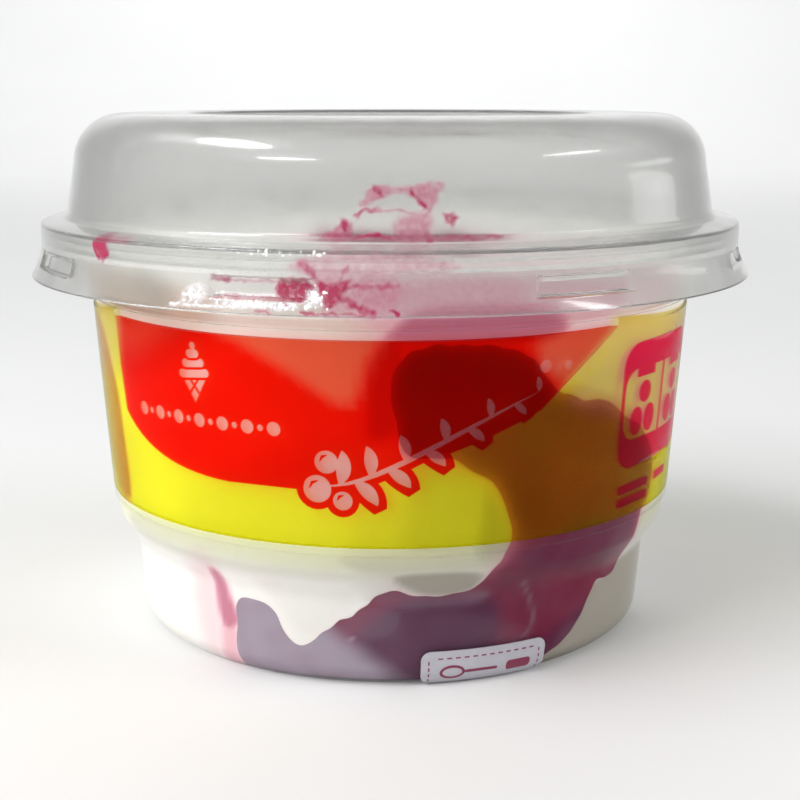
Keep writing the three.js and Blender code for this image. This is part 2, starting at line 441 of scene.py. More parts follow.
class SharedEffects:
    """The shader node group that the finishes share."""

    def __init__(self) -> None:
        """Builds the group once."""
        self.mottle = self._mottle()

    @staticmethod
    def _mottle() -> bpy.types.NodeTree:
        """Soft cloudy variation between two values, at a scale per metre.

        Returns:
            The node group.
        """
        group = bpy.data.node_groups.new("mottle", "ShaderNodeTree")
        for label, value in (("Scale", 100.0), ("Low", 0.0), ("High", 1.0)):
            socket = group.interface.new_socket(label, in_out="INPUT", socket_type="NodeSocketFloat")
            socket.default_value = value
        group.interface.new_socket("Value", in_out="OUTPUT", socket_type="NodeSocketFloat")
        tree = Tree(group)
        given = tree.add("NodeGroupInput").outputs
        place = tree.add("TexCoord").outputs["Object"]
        cloud = tree.add("TexNoise", Vector=place, Scale=given["Scale"], Detail=3.0, Roughness=0.55)
        limits = {"To_Min": given["Low"], "To_Max": given["High"]}
        spread = tree.add("MapRange", Value=cloud.outputs[0], From_Min=0.32, From_Max=0.68, **limits)
        tree.add("NodeGroupOutput", spread.outputs[0])
        return group


@dataclass(frozen=True)
class Finish:
    """A material by its name. Each kind of finish makes its own surface."""

    name: str

    def surface(self, tree: Tree, effects: SharedEffects) -> bpy.types.Node:
        """Makes the shader of the surface.

        Args:
            tree: The material's tree.
            effects: The shared node groups.

        Returns:
            The surface's last node.
        """
        raise NotImplementedError

    def material(self, effects: SharedEffects) -> bpy.types.Material:
        """Builds the material.

        Args:
            effects: The shared node groups.

        Returns:
            The new material.
        """
        material = bpy.data.materials.new(self.name)
        material.use_nodes = True
        tree = Tree(material.node_tree)
        tree.add("OutputMaterial", self.surface(tree, effects).outputs[0])
        return material


@dataclass(frozen=True)
class ClearFinish(Finish):
    """Clear, fogged or tinted plastic that lets light through to the food, as a thin wall does."""

    tint: Colour
    lamp_tint: Colour
    smooth: float = 0.03
    dull: float = 0.08
    clarity: float = 1.0
    index: float = 1.45
    gloss: float = 0.0
    waviness: float = 0.0
    wave_scale: float = 60.0
    # Colour under a painted veil of reflected light, where the points store a fade value.
    glare_veiled: Colour | None = None

    def surface(self, tree: Tree, effects: SharedEffects) -> bpy.types.Node:
        """Mixes a glossy shell with plain transparency for the rays that light the food.

        Args:
            tree: The material's tree.
            effects: The shared node groups.

        Returns:
            The surface's last node.
        """
        roughness = tree.group(effects.mottle, Scale=90.0, Low=self.smooth, High=self.dull)
        tint = self.tint
        # Painted veil of reflected light: blends towards the veiled colour by the points' fade value.
        if self.glare_veiled is not None:
            tint = tree.blend(tree.stored("fade"), tint, self.glare_veiled)
        shell = tree.add(
            "BsdfPrincipled",
            Base_Color=tint,
            Roughness=roughness,
            IOR=self.index,
            Transmission_Weight=self.clarity,
            Coat_Weight=self.gloss,
            Coat_Roughness=0.05,
        )
        if self.waviness > 0:
            swell = tree.group(effects.mottle, Scale=self.wave_scale)
            bump = tree.add("Bump", Strength=1.0, Distance=self.waviness * MM, Height=swell)
            tree.feed(shell.inputs["Normal"], bump.outputs[0])
        straight = tree.add("BsdfTransparent", Color=self.lamp_tint)
        path = tree.add("LightPath").outputs
        soft = tree.add("Math", path["Is Shadow Ray"], path["Is Diffuse Ray"], operation="MAXIMUM")
        return tree.add("MixShader", soft.outputs[0], shell.outputs[0], straight.outputs[0])


def rooted(colour: Colour, power: float) -> Colour:
    """A colour with each of its shares raised to a power."""
    return tuple(share**power for share in colour)


def ink(name: str, passed: Colour, clarity: float = 0.97, glare_veiled: Colour | None = None) -> ClearFinish:
    """A see-through printing ink, by the share of each colour that comes back from behind it.

    Light crosses the film on its way in and again on its way out. The way in takes the fourth root of the
    whole, half of it at each face, and the way out takes the rest.

    Args:
        name: The material's name.
        passed: The share of each colour that comes back.
        clarity: How little the ink scatters.
        glare_veiled: The same as passed, under a painted veil of reflected light.

    Returns:
        The ink's finish.
    """
    rest = None if glare_veiled is None else tuple(min(1.0, f / p**0.25) for f, p in zip(glare_veiled, passed))
    return ClearFinish(
        name,
        rooted(passed, 0.75),
        rooted(passed, 0.125),
        smooth=0.14,
        dull=0.22,
        clarity=clarity,
        index=1.07,
        glare_veiled=rest,
    )


class Print(Enum):
    """The inks of a sheet."""

    @property
    def slot(self) -> int:
        """The number of the ink's material slot."""
        return list(type(self)).index(self)


class Ink(Print):
    """The print's inks on the clear film."""

    BARE = ink("film_bare", (0.96, 0.96, 0.95), 0.99)
    # The last colours of YELLOW and RED are the inks under the painted veil of reflected light.
    YELLOW = ink("ink_yellow", (0.85, 0.81, 0.025), 0.99, (0.84, 0.69, 0.18))
    RED = ink("ink_red", (0.87, 0.0055, 0.0006), 0.995, (0.84, 0.1, 0.045))
    MAGENTA = ink("ink_magenta", (0.92, 0.014, 0.085), 0.99)
    PALE = ink("ink_pale", (0.82, 0.44, 0.43), 0.98)


class PaperInk(Print):
    """The sticker's paper and its print."""

    PAPER = (0.43, 0.415, 0.46)
    MAROON = (0.2, 0.02, 0.06)


@dataclass(frozen=True)
class PaperFinish(Finish):
    """Coated paper with faint fibres, bare or printed."""

    colour: Colour
    fibre: float = 0.02

    def surface(self, tree: Tree, effects: SharedEffects) -> bpy.types.Node:
        """Shades the paper by its fibres.

        Args:
            tree: The material's tree.
            effects: The shared node groups.

        Returns:
            The surface's last node.
        """
        fibres = tree.group(effects.mottle, Scale=900.0)
        colour = tree.blend(fibres, tuple(0.93 * share for share in self.colour), self.colour)
        bump = tree.add("Bump", Strength=0.4, Distance=self.fibre * MM, Height=fibres)
        return tree.add("BsdfPrincipled", Base_Color=colour, Roughness=0.5, Normal=bump.outputs[0])


@dataclass(frozen=True)
class FloorFinish(Finish):
    """Matt paint with faint clouds in it."""

    colour: Colour

    def surface(self, tree: Tree, effects: SharedEffects) -> bpy.types.Node:
        """Shades the paint by its clouds.

        Args:
            tree: The material's tree.
            effects: The shared node groups.

        Returns:
            The surface's last node.
        """
        clouds = tree.group(effects.mottle, Scale=6.0)
        colour = tree.blend(clouds, tuple(0.98 * share for share in self.colour), self.colour)
        return tree.add("BsdfPrincipled", Base_Color=colour, Roughness=0.7)


@dataclass(frozen=True)
class CreamFinish(Finish):
    """Frozen cream, stained by the sauce beside it, with painted shade and painted light on it."""

    name: str = "frozen_cream"
    cream: Colour = (0.85, 0.84, 0.81)
    deep_cream: Colour = (0.79, 0.775, 0.735)
    # Painted glow: the yellow-green light that comes through the yellow film onto the cream just below it.
    film_glow_colour: Colour = (0.7, 0.72, 0.52)
    # Painted shade.
    shade_colour: Colour = (0.3, 0.275, 0.225)
    # Painted warm shade: the neck under the lid's skirt, shaded and reddened by light bounced from the red
    # film.
    warm_shade_colour: Colour = (0.62, 0.43, 0.34)
    blush: Colour = (0.72, 0.4, 0.46)
    berry: Colour = (0.4, 0.075, 0.15)
    grain: float = 0.12

    def surface(self, tree: Tree, effects: SharedEffects) -> bpy.types.Node:
        """Paints a glow, a warm shade, stains and shade onto the cream by the values that its points store.

        Args:
            tree: The material's tree.
            effects: The shared node groups.

        Returns:
            The surface's last node.
        """
        body = tree.blend(tree.group(effects.mottle, Scale=70.0), self.deep_cream, self.cream)
        for label, colour in (("tinge", self.film_glow_colour), ("warmth", self.warm_shade_colour)):
            body = tree.blend(tree.stored(label), body, colour)
        stain = tree.stored("stain")
        faint = tree.add("MapRange", Value=stain, From_Max=0.5)
        strong = tree.add("MapRange", Value=stain, From_Min=0.45, From_Max=1.0)
        body = tree.blend(faint.outputs[0], body, self.blush)
        body = tree.blend(strong.outputs[0], body, self.berry)
        body = tree.blend(tree.stored("shade"), body, self.shade_colour)
        coarse = tree.group(effects.mottle, Scale=420.0)
        bump = tree.add("Bump", Strength=0.35, Distance=self.grain * MM, Height=coarse)
        return tree.add("BsdfPrincipled", Base_Color=body, Roughness=0.55, IOR=1.1, Normal=bump.outputs[0])


@dataclass(frozen=True)
class SauceFinish(Finish):
    """Thick berry sauce, from dark and clear to milky where cream is stirred into it, with painted shade."""

    name: str = "berry_sauce"
    dark: Colour = (0.135, 0.008, 0.033)
    bright: Colour = (0.19, 0.016, 0.052)
    # Painted shade on the sauce.
    sauce_shade_colour: Colour = (0.055, 0.01, 0.04)
    milky: Colour = (0.325, 0.27, 0.33)
    edge: Colour = (0.5, 0.16, 0.22)
    grain: float = 0.15

    def surface(self, tree: Tree, effects: SharedEffects) -> bpy.types.Node:
        """Paints shade on the sauce and lightens it by the values that its points store.

        Args:
            tree: The material's tree.
            effects: The shared node groups.

        Returns:
            The surface's last node.
        """
        streaks = tree.group(effects.mottle, Scale=90.0)
        body = tree.blend(streaks, self.dark, self.bright)
        for label, colour in (("dusk", self.sauce_shade_colour), ("milk", self.milky), ("edge", self.edge)):
            body = tree.blend(tree.stored(label), body, colour)
        shine = tree.group(effects.mottle, Scale=260.0, Low=0.3, High=0.5)
        bump = tree.add("Bump", Strength=0.3, Distance=self.grain * MM, Height=streaks)
        return tree.add("BsdfPrincipled", Base_Color=body, Roughness=shine, IOR=1.1, Normal=bump.outputs[0])


@dataclass(frozen=True)
class SmearFinish(Finish):
    """A thin smear on a wall: strong where it is thick, pale and see-through where it is wiped out."""

    thick: Colour
    thin: Colour
    grain: float = 1500.0
    sparse: float = 0.6
    cover: float = 0.75

    def surface(self, tree: Tree, effects: SharedEffects) -> bpy.types.Node:
        """Colours and covers by the depth that the smear's points store.

        Args:
            tree: The material's tree.
            effects: The shared node groups.

        Returns:
            The surface's last node.
        """
        specks = tree.group(effects.mottle, Scale=self.grain, Low=self.sparse, High=1.35)
        amount = tree.add("Math", tree.stored("depth"), specks, operation="MULTIPLY", use_clamp=True)
        share = tree.add("MapRange", Value=amount.outputs[0], From_Min=0.2, From_Max=0.85)
        body = tree.blend(share.outputs[0], self.thin, self.thick)
        cover = tree.add("MapRange", Value=amount.outputs[0], To_Max=self.cover)
        return tree.add("BsdfPrincipled", Base_Color=body, Roughness=0.35, IOR=1.2, Alpha=cover.outputs[0])


@dataclass(frozen=True)
class IceFinish(Finish):
    """White ice."""

    name: str = "white_ice"
    colour: Colour = (0.95, 0.96, 0.97)

    def surface(self, tree: Tree, effects: SharedEffects) -> bpy.types.Node:
        """Shades the ice, clear and rough by turns."""
        roughness = tree.group(effects.mottle, Scale=800.0, Low=0.15, High=0.4)
        return tree.add("BsdfPrincipled", Base_Color=self.colour, Roughness=roughness, IOR=1.31)


# ---- cup and lid --------------------------------------------------------------------------------------


@dataclass(frozen=True)
class CupShell:
    """Clear cup: a round bowl, a step out to a tapered body, a stacking ledge and a flat rim."""

    wall: float = 0.8
    foot_radius: float = 33.2
    foot_corner: tuple[float, float] = (2.8, 3.0)
    bowl_radius: float = 36.7
    bowl_height: float = 11.7
    bowl_rounding: float = 8.0
    step_bends: tuple[tuple[float, float], ...] = ((0.28, 0.25), (0.9, 0.75))  # shares of the step out and up
    step_rounding: float = 5.0
    shoulder_radius: float = 39.4
    shoulder_height: float = 17.0
    body_radius: float = 41.45
    body_height: float = 46.5
    ledge_radius: float = 42.3
    ledge_height: float = 47.3
    ledge_rounding: float = 0.5
    neck_radius: float = 42.8
    rim_radius: float = 47.35
    rim_underside: float = 53.75
    rim_top: float = 55.0
    rim_roundings: tuple[float, float] = (0.25, 0.4)  # at its edge and at its inner corner
    columns: int = 360
    row_step: float = 1.5
    finish: ClearFinish = ClearFinish(
        "clear_cup", (0.95, 0.955, 0.945), (0.91, 0.91, 0.905), smooth=0.02, dull=0.06, index=1.2
    )

    def outside(self) -> np.ndarray:
        """Outer side, from the middle of the base up to the underside of the rim.

        Returns:
            The outline's points.
        """
        width, height = self.foot_corner
        turns = np.radians(np.linspace(-90, 0, 13))[:, None]
        centre = np.array([self.foot_radius, height])
        foot = centre + np.hstack([width * np.cos(turns), height * np.sin(turns)])
        bowl = np.array([self.bowl_radius, self.bowl_height])
        step = np.array([self.shoulder_radius, self.shoulder_height]) - bowl
        side = rounded([
            Corner(*foot[-1]),
            Corner(*bowl, self.bowl_rounding),
            *(Corner(*(bowl + step * bend), self.step_rounding) for bend in self.step_bends),
            Corner(self.shoulder_radius, self.shoulder_height, self.step_rounding),
            Corner(self.body_radius, self.body_height, self.ledge_rounding),
            Corner(self.ledge_radius, self.ledge_height, self.ledge_rounding),
            Corner(self.neck_radius, self.rim_underside),
        ])
        return np.concatenate([[[0.0, 0.0]], foot, side[1:]])

    def radius_at(self, heights: np.ndarray, depth: float = 0.0) -> np.ndarray:
        """Distance of the side from the axis at given heights.

        Args:
            heights: Heights above the base.
            depth: How far inside the outer side, and outside it if negative.

        Returns:
            One distance for each height.
        """
        side = offset(self.outside(), depth)[1:]
        return np.interp(heights, side[:, 1], side[:, 0])

    def build(self, effects: SharedEffects) -> bpy.types.Object:
        """Makes the cup.

        Args:
            effects: The shared node groups.

        Returns:
            The finished piece.
        """
        outside = self.outside()
        inside = offset(outside, self.wall)[::-1]
        inside[0, 1] = self.rim_top
        edge, inner = self.rim_roundings
        rim = rounded([
            Corner(*outside[-1]),
            Corner(self.rim_radius, self.rim_underside, edge),
            Corner(self.rim_radius, self.rim_top, edge),
            Corner(*inside[0], inner),
            Corner(*inside[1]),
        ])
        outline = np.concatenate([outside, rim[1:-1], inside[1:]])
        skin = turned(resampled(outline, self.row_step), self.columns)
        cup = skin.piece("cup_shell", [self.finish.material(effects)])
        settle(cup, "clear_cup", "cup")
        return cup


@dataclass(frozen=True)
class DomeLid:
    """Clear dome lid: a recessed top, a flange over the cup's rim, and a flared skirt with snap lugs."""

    wall: float = 0.55
    top_height: float = 70.55
    recess_radius: float = 27.2
    recess_height: float = 69.0
    recess_slope: float = 1.3
    recess_rounding: float = 0.8
    top_radius: float = 37.0
    corner_radius: float = 6.5
    foot_radius: float = 44.6
    foot_height: float = 57.6
    foot_rounding: float = 0.9
    foot_fillet: float = 0.7
    fillet_rounding: float = 0.5
    flange_slope: float = 0.65
    flange_radius: float = 48.2
    flange_height: float = 56.3
    flange_rounding: float = 0.6
    flange_foot: float = 53.3
    skirt_lead: tuple[float, float] = (0.12, 0.6)  # out and down from the flange's foot
    skirt_radius: float = 49.65
    skirt_height: float = 49.2
    skirt_curve: float = 1.5
    lug_count: int = 8
    lug_angle: float = 27.65
    lug_half_width: float = 7.0
    lug_slope: float = 1.1
    lug_bottom: float = 50.95
    lug_top: float = 53.0
    lug_edge: float = 0.25
    lug_depth: float = 0.75
    wobble: float = 0.05
    columns: int = 720
    row_step: float = 1.2
    finish: ClearFinish = ClearFinish(
        "clear_lid",
        (0.78, 0.783, 0.77),
        (0.965, 0.965, 0.96),
        smooth=0.12,
        dull=0.26,
        clarity=0.95,
        index=1.38,
        gloss=0.5,
        waviness=0.05,
        wave_scale=45.0,
    )

    def outside(self) -> np.ndarray:
        """Outer side, from the middle of the top out and down to the skirt's edge, without the lugs.

        Returns:
            The outline's points.
        """
        side_radius = self.top_radius + self.corner_radius
        corner_foot = self.top_height - self.corner_radius
        turns = np.radians(np.linspace(90, 0, 19))[:, None]
        corner = np.array([self.top_radius, corner_foot]) + self.corner_radius * np.hstack(
            [np.cos(turns), np.sin(turns)]
        )
        top = rounded([
            Corner(0, self.recess_height),
            Corner(self.recess_radius, self.recess_height, self.recess_rounding),
            Corner(self.recess_radius + self.recess_slope, self.top_height, self.recess_rounding),
            Corner(*corner[0]),
        ])
        small = self.fillet_rounding
        flange = rounded([
            Corner(side_radius, corner_foot),
            Corner(self.foot_radius, self.foot_height, self.foot_rounding),
            Corner(self.foot_radius + self.foot_fillet, self.flange_height + self.flange_slope, small),
            Corner(self.flange_radius, self.flange_height, self.flange_rounding),
            Corner(self.flange_radius, self.flange_foot, small),
            Corner(self.flange_radius + self.skirt_lead[0], self.flange_foot - self.skirt_lead[1]),
        ])
        drop = np.linspace(0.2, 1, 40)
        flare = (self.skirt_radius - self.flange_radius) * drop**self.skirt_curve
        height = self.flange_foot - (self.flange_foot - self.skirt_height) * drop
        skirt = np.stack([self.flange_radius + flare, height], axis=1)
        return np.concatenate([top[:-1], corner, flange[1:-1], skirt])

    def inside(self) -> np.ndarray:
        """Inner side, in the same order as the outer one.

        Returns:
            The outline's points.
        """
        inner = offset(self.outside(), -self.wall)
        inner[-1, 1] = self.skirt_height
        return inner

    def press(self, turns: np.ndarray, heights: np.ndarray) -> np.ndarray:
        """How far the lugs and the sheet's slight unevenness press the wall in.

        Args:
            turns: Angles in radians.
            heights: Heights above the cup's base.

        Returns:
            Distances towards the axis.
        """
        pitch = 360 / self.lug_count
        away = np.abs((np.degrees(turns) - self.lug_angle + pitch / 2) % pitch - pitch / 2)
        across = 1 - step_between(away, self.lug_half_width, self.lug_half_width + self.lug_slope)
        low = step_between(heights, self.lug_bottom - self.lug_edge, self.lug_bottom)
        high = 1 - step_between(heights, self.lug_top, self.lug_top + self.lug_edge)
        sway = np.sin(3 * turns + 0.25 * heights) + np.sin(7 * turns - 0.4 * heights + 1.3)
        calm = 1 - step_between(heights, self.top_height - self.corner_radius, self.recess_height - 1)
        return self.lug_depth * across * low * high + self.wobble * calm * sway / 2

    def inner_radius_at(self, turns: np.ndarray, heights: np.ndarray) -> np.ndarray:
        """Distance of the inner wall from the axis, at angles in radians and heights below the top.

        Args:
            turns: Angles in radians.
            heights: Heights above the cup's base.

        Returns:
            One distance for each place.
        """
        inner = self.inside()
        side = inner[inner[:, 0] > self.top_radius][::-1]
        return np.interp(heights, side[:, 1], side[:, 0]) - self.press(turns, heights)

    def build(self, effects: SharedEffects) -> bpy.types.Object:
        """Makes the lid.

        Args:
            effects: The shared node groups.

        Returns:
            The finished piece.
        """
        outline = np.concatenate([self.inside(), self.outside()[::-1]])
        skin = turned(resampled(outline, self.row_step), self.columns, self.press)
        lid = skin.piece("dome_lid", [self.finish.material(effects)])
        settle(lid, "clear_lid", "lid")
        return lid


# ---- printed sheets -----------------------------------------------------------------------------------


def disc(centre: Sequence[float], radius: float, stretch: float = 1.0, sides: int = 24) -> np.ndarray:
    """A circle, or an ellipse that is stretched upwards."""
    turns = np.linspace(0, 2 * math.pi, sides, endpoint=False)
    return np.stack([centre[0] + radius * np.cos(turns), centre[1] + stretch * radius * np.sin(turns)], 1)


def plate(low: Sequence[float], high: Sequence[float], corner: float = 0.0) -> np.ndarray:
    """A rectangle with rounded corners, between its lowest and highest corner.

    Args:
        low: Its lowest corner.
        high: Its highest corner.
        corner: The corners' radius.

    Returns:
        The rectangle's closed outline.
    """
    corner = max(corner, 1e-3)
    steps = 6 if corner > 0.2 else 1
    points = []
    corners = (high, (low[0], high[1]), low, (high[0], low[1]))
    for (x, y), start in zip(corners, (0, 90, 180, 270)):
        centre = np.array([x, y]) - corner * np.sign([x - low[0] - 1e-9, y - low[1] - 1e-9])
        turns = np.radians(np.linspace(start, start + 90, steps + 1))
        points += [centre + corner * np.array([math.cos(t), math.sin(t)]) for t in turns]
    return np.array(points)


def crescent(curve: np.ndarray, width: float, grow: float = 0.0) -> np.ndarray:
    """A stroke along a curve, widest in its middle and pointed at its ends.

    Args:
        curve: Points along the stroke's middle.
        width: Half its greatest width.
        grow: How much it is widened all round, as for a border.

    Returns:
        The stroke's closed outline.
    """
    along = np.gradient(curve, axis=0)
    along /= np.linalg.norm(along, axis=1)[:, None]
    side = np.stack([-along[:, 1], along[:, 0]], 1)
    share = np.linspace(0, 1, len(curve))
    half = (width * np.sin(math.pi * share) ** 0.8 + grow + 0.05)[:, None]
    body = curve + along * (grow * (2 * share - 1))[:, None]
    return np.concatenate([body + side * half, (body - side * half)[::-1]])


def capsule(middle: Sequence[float], length: float, radius: float, lean: float, sides: int = 9) -> np.ndarray:
    """A bar with round ends, by its middle, the length of its straight part, and its lean in degrees.

    Args:
        middle: The bar's middle.
        length: The length of its straight part.
        radius: The radius of its ends.
        lean: Its lean in degrees.
        sides: Points round each end.

    Returns:
        The bar's closed outline.
    """
    halves = [np.linspace(lean + start, lean + start + 180, sides) for start in (-90, 90)]
    turns = np.radians(np.concatenate(halves))
    along = np.array([math.cos(math.radians(lean)), math.sin(math.radians(lean))]) * length / 2
    ends = np.array(middle) + along * np.repeat([1, -1], sides)[:, None]
    return ends + radius * np.stack([np.cos(turns), np.sin(turns)], 1)


def holds(outline: np.ndarray, spots: np.ndarray) -> np.ndarray:
    """Whether a closed outline holds each of many spots.

    Args:
        outline: The closed outline.
        spots: The spots, one row each.

    Returns:
        True for each spot inside.
    """
    inside = np.zeros(len(spots), bool)
    for (x0, y0), (x1, y1) in zip(outline, np.roll(outline, -1, axis=0)):
        if y0 == y1:
            continue
        spans = (spots[:, 1] > min(y0, y1)) & (spots[:, 1] <= max(y0, y1))
        crossing = x0 + (spots[:, 1] - y0) * (x1 - x0) / (y1 - y0)
        inside ^= spans & (spots[:, 0] < crossing)
    return inside


@dataclass(frozen=True)
class PrintedShape:
    """A field of one ink on a flat sheet. Later fields cover earlier ones."""

    ink: Print
    outline: np.ndarray


def fields(ink: Print, *outlines: np.ndarray) -> list[PrintedShape]:
    """Fields of one ink inside many outlines."""
    return [PrintedShape(ink, outline) for outline in outlines]


@dataclass
class PrintedSheet:
    """A thin sheet with print, laid out flat in millimetres and bent round the cup."""

    edge: np.ndarray
    shapes: list[PrintedShape]
    bend: Callable[[np.ndarray, float], np.ndarray]
    pitch: float
    closed: bool = False

    def skin(self) -> Skin:
        """Cuts the sheet along its print and gives both of its faces and its rim.

        Returns:
            The bent sheet as a closed skin, with a material slot for each ink.
        """
        low, high = self.edge.min(0), self.edge.max(0)
        counts = np.maximum(1, np.round((high - low) / self.pitch).astype(int))
        grid = grid_over(low, high, counts)
        grid = grid[holds(self.edge, grid) & ~np.isclose(grid, low).any(1) & ~np.isclose(grid, high).any(1)]
        loops = [self.edge, *(shape.outline for shape in self.shapes)]
        spots = np.concatenate([*loops, grid])
        links, first = [], 0
        for loop in loops:
            links += [(first + i, first + (i + 1) % len(loop)) for i in range(len(loop))]
            first += len(loop)
        cut = delaunay_2d_cdt([Vector(spot) for spot in spots], links, [], 0, 1e-5)
        flat = np.array([tuple(spot) for spot in cut[0]])
        faces = np.array(cut[2])
        middles = flat[faces].mean(1)
        kept = holds(self.edge, middles)
        faces, middles = faces[kept], middles[kept]
        slots = np.zeros(len(faces), int)
        for shape in self.shapes:
            slots[holds(shape.outline, middles)] = shape.ink.slot
        points = np.concatenate([self.bend(flat, 0.0), self.bend(flat, 1.0)])
        rim = rim_of(faces.tolist())
        if self.closed:
            seam = np.isclose(flat[:, :1], (low[0], high[0]))
            rim = [side for side in rim if not (seam[side[0]] & seam[side[1]]).any()]
        rim_slots = [slots[number] for _, _, number in rim]
        return Skin(points, doubled(faces, rim, len(flat)), np.concatenate([slots, slots, rim_slots]))


def grid_over(low: np.ndarray, high: np.ndarray, counts: np.ndarray) -> np.ndarray:
    """Points of a flat grid between two corners, by its number of cells each way."""
    lines = [np.linspace(start, end, count + 1) for start, end, count in zip(low, high, counts)]
    return np.stack(np.meshgrid(*lines), -1).reshape(-1, 2)


def looped(stops: Sequence[tuple[float, float]], steps: int = 6) -> np.ndarray:
    """A smooth closed curve through its stops.

    Args:
        stops: The places that the curve passes.
        steps: Pieces from each stop to the next.

    Returns:
        The curve's closed outline.
    """
    here = np.array(stops, float)
    before, after, later = np.roll(here, 1, 0), np.roll(here, -1, 0), np.roll(here, -2, 0)
    points = []
    for share in np.arange(steps) / steps:
        square, cube = share**2, share**3
        points.append(
            (-share + 2 * square - cube) / 2 * before
            + (2 - 5 * square + 3 * cube) / 2 * here
            + (share + 4 * square - 3 * cube) / 2 * after
            + (cube - square) / 2 * later
        )
    return np.stack(points, 1).reshape(-1, 2)


def reach_to(route: np.ndarray, spots: np.ndarray) -> np.ndarray:
    """Distance of each of many spots from a route of straight pieces.

    Args:
        route: The route's points.
        spots: The spots, one row each.

    Returns:
        One distance for each spot.
    """
    nearest = np.full(len(spots), np.inf)
    for start, end in zip(route, route[1:]):
        way = end - start
        share = np.clip((spots - start) @ way / max(way @ way, 1e-12), 0, 1)[:, None]
        nearest = np.minimum(nearest, np.linalg.norm(spots - start - way * share, axis=1))
    return nearest


@dataclass(frozen=True)
class Mark:
    """A soft-edged touch of colour by angles and heights: a line, or an area if it has no width."""

    stops: tuple[tuple[float, float], ...]
    strength: float
    soft: float
    width: float = 0.0

    def values(self, turns: np.ndarray, heights: np.ndarray, reach: float = 0.66) -> np.ndarray:
        """The mark's strength at places on the wall.

        Args:
            turns: Angles in degrees.
            heights: Heights above the base.
            reach: Millimetres along the wall for each degree.

        Returns:
            One value for each place.
        """
        spots = np.stack([turns * reach, heights], 1)
        if self.width > 0:
            away = reach_to(np.array(self.stops) * (reach, 1), spots) - self.width
        else:
            loop = looped(self.stops) * (reach, 1)
            away = reach_to(np.vstack([loop, loop[:1]]), spots) * np.where(holds(loop, spots), -1, 1)
        return self.strength * (1 - step_between(away, -self.soft / 2, self.soft / 2))


def marked(marks: Sequence[Mark], turns: np.ndarray, heights: np.ndarray, reach: float = 0.66) -> np.ndarray:
    """The strongest of many marks at each place."""
    return np.max([mark.values(turns, heights, reach) for mark in marks], axis=0)


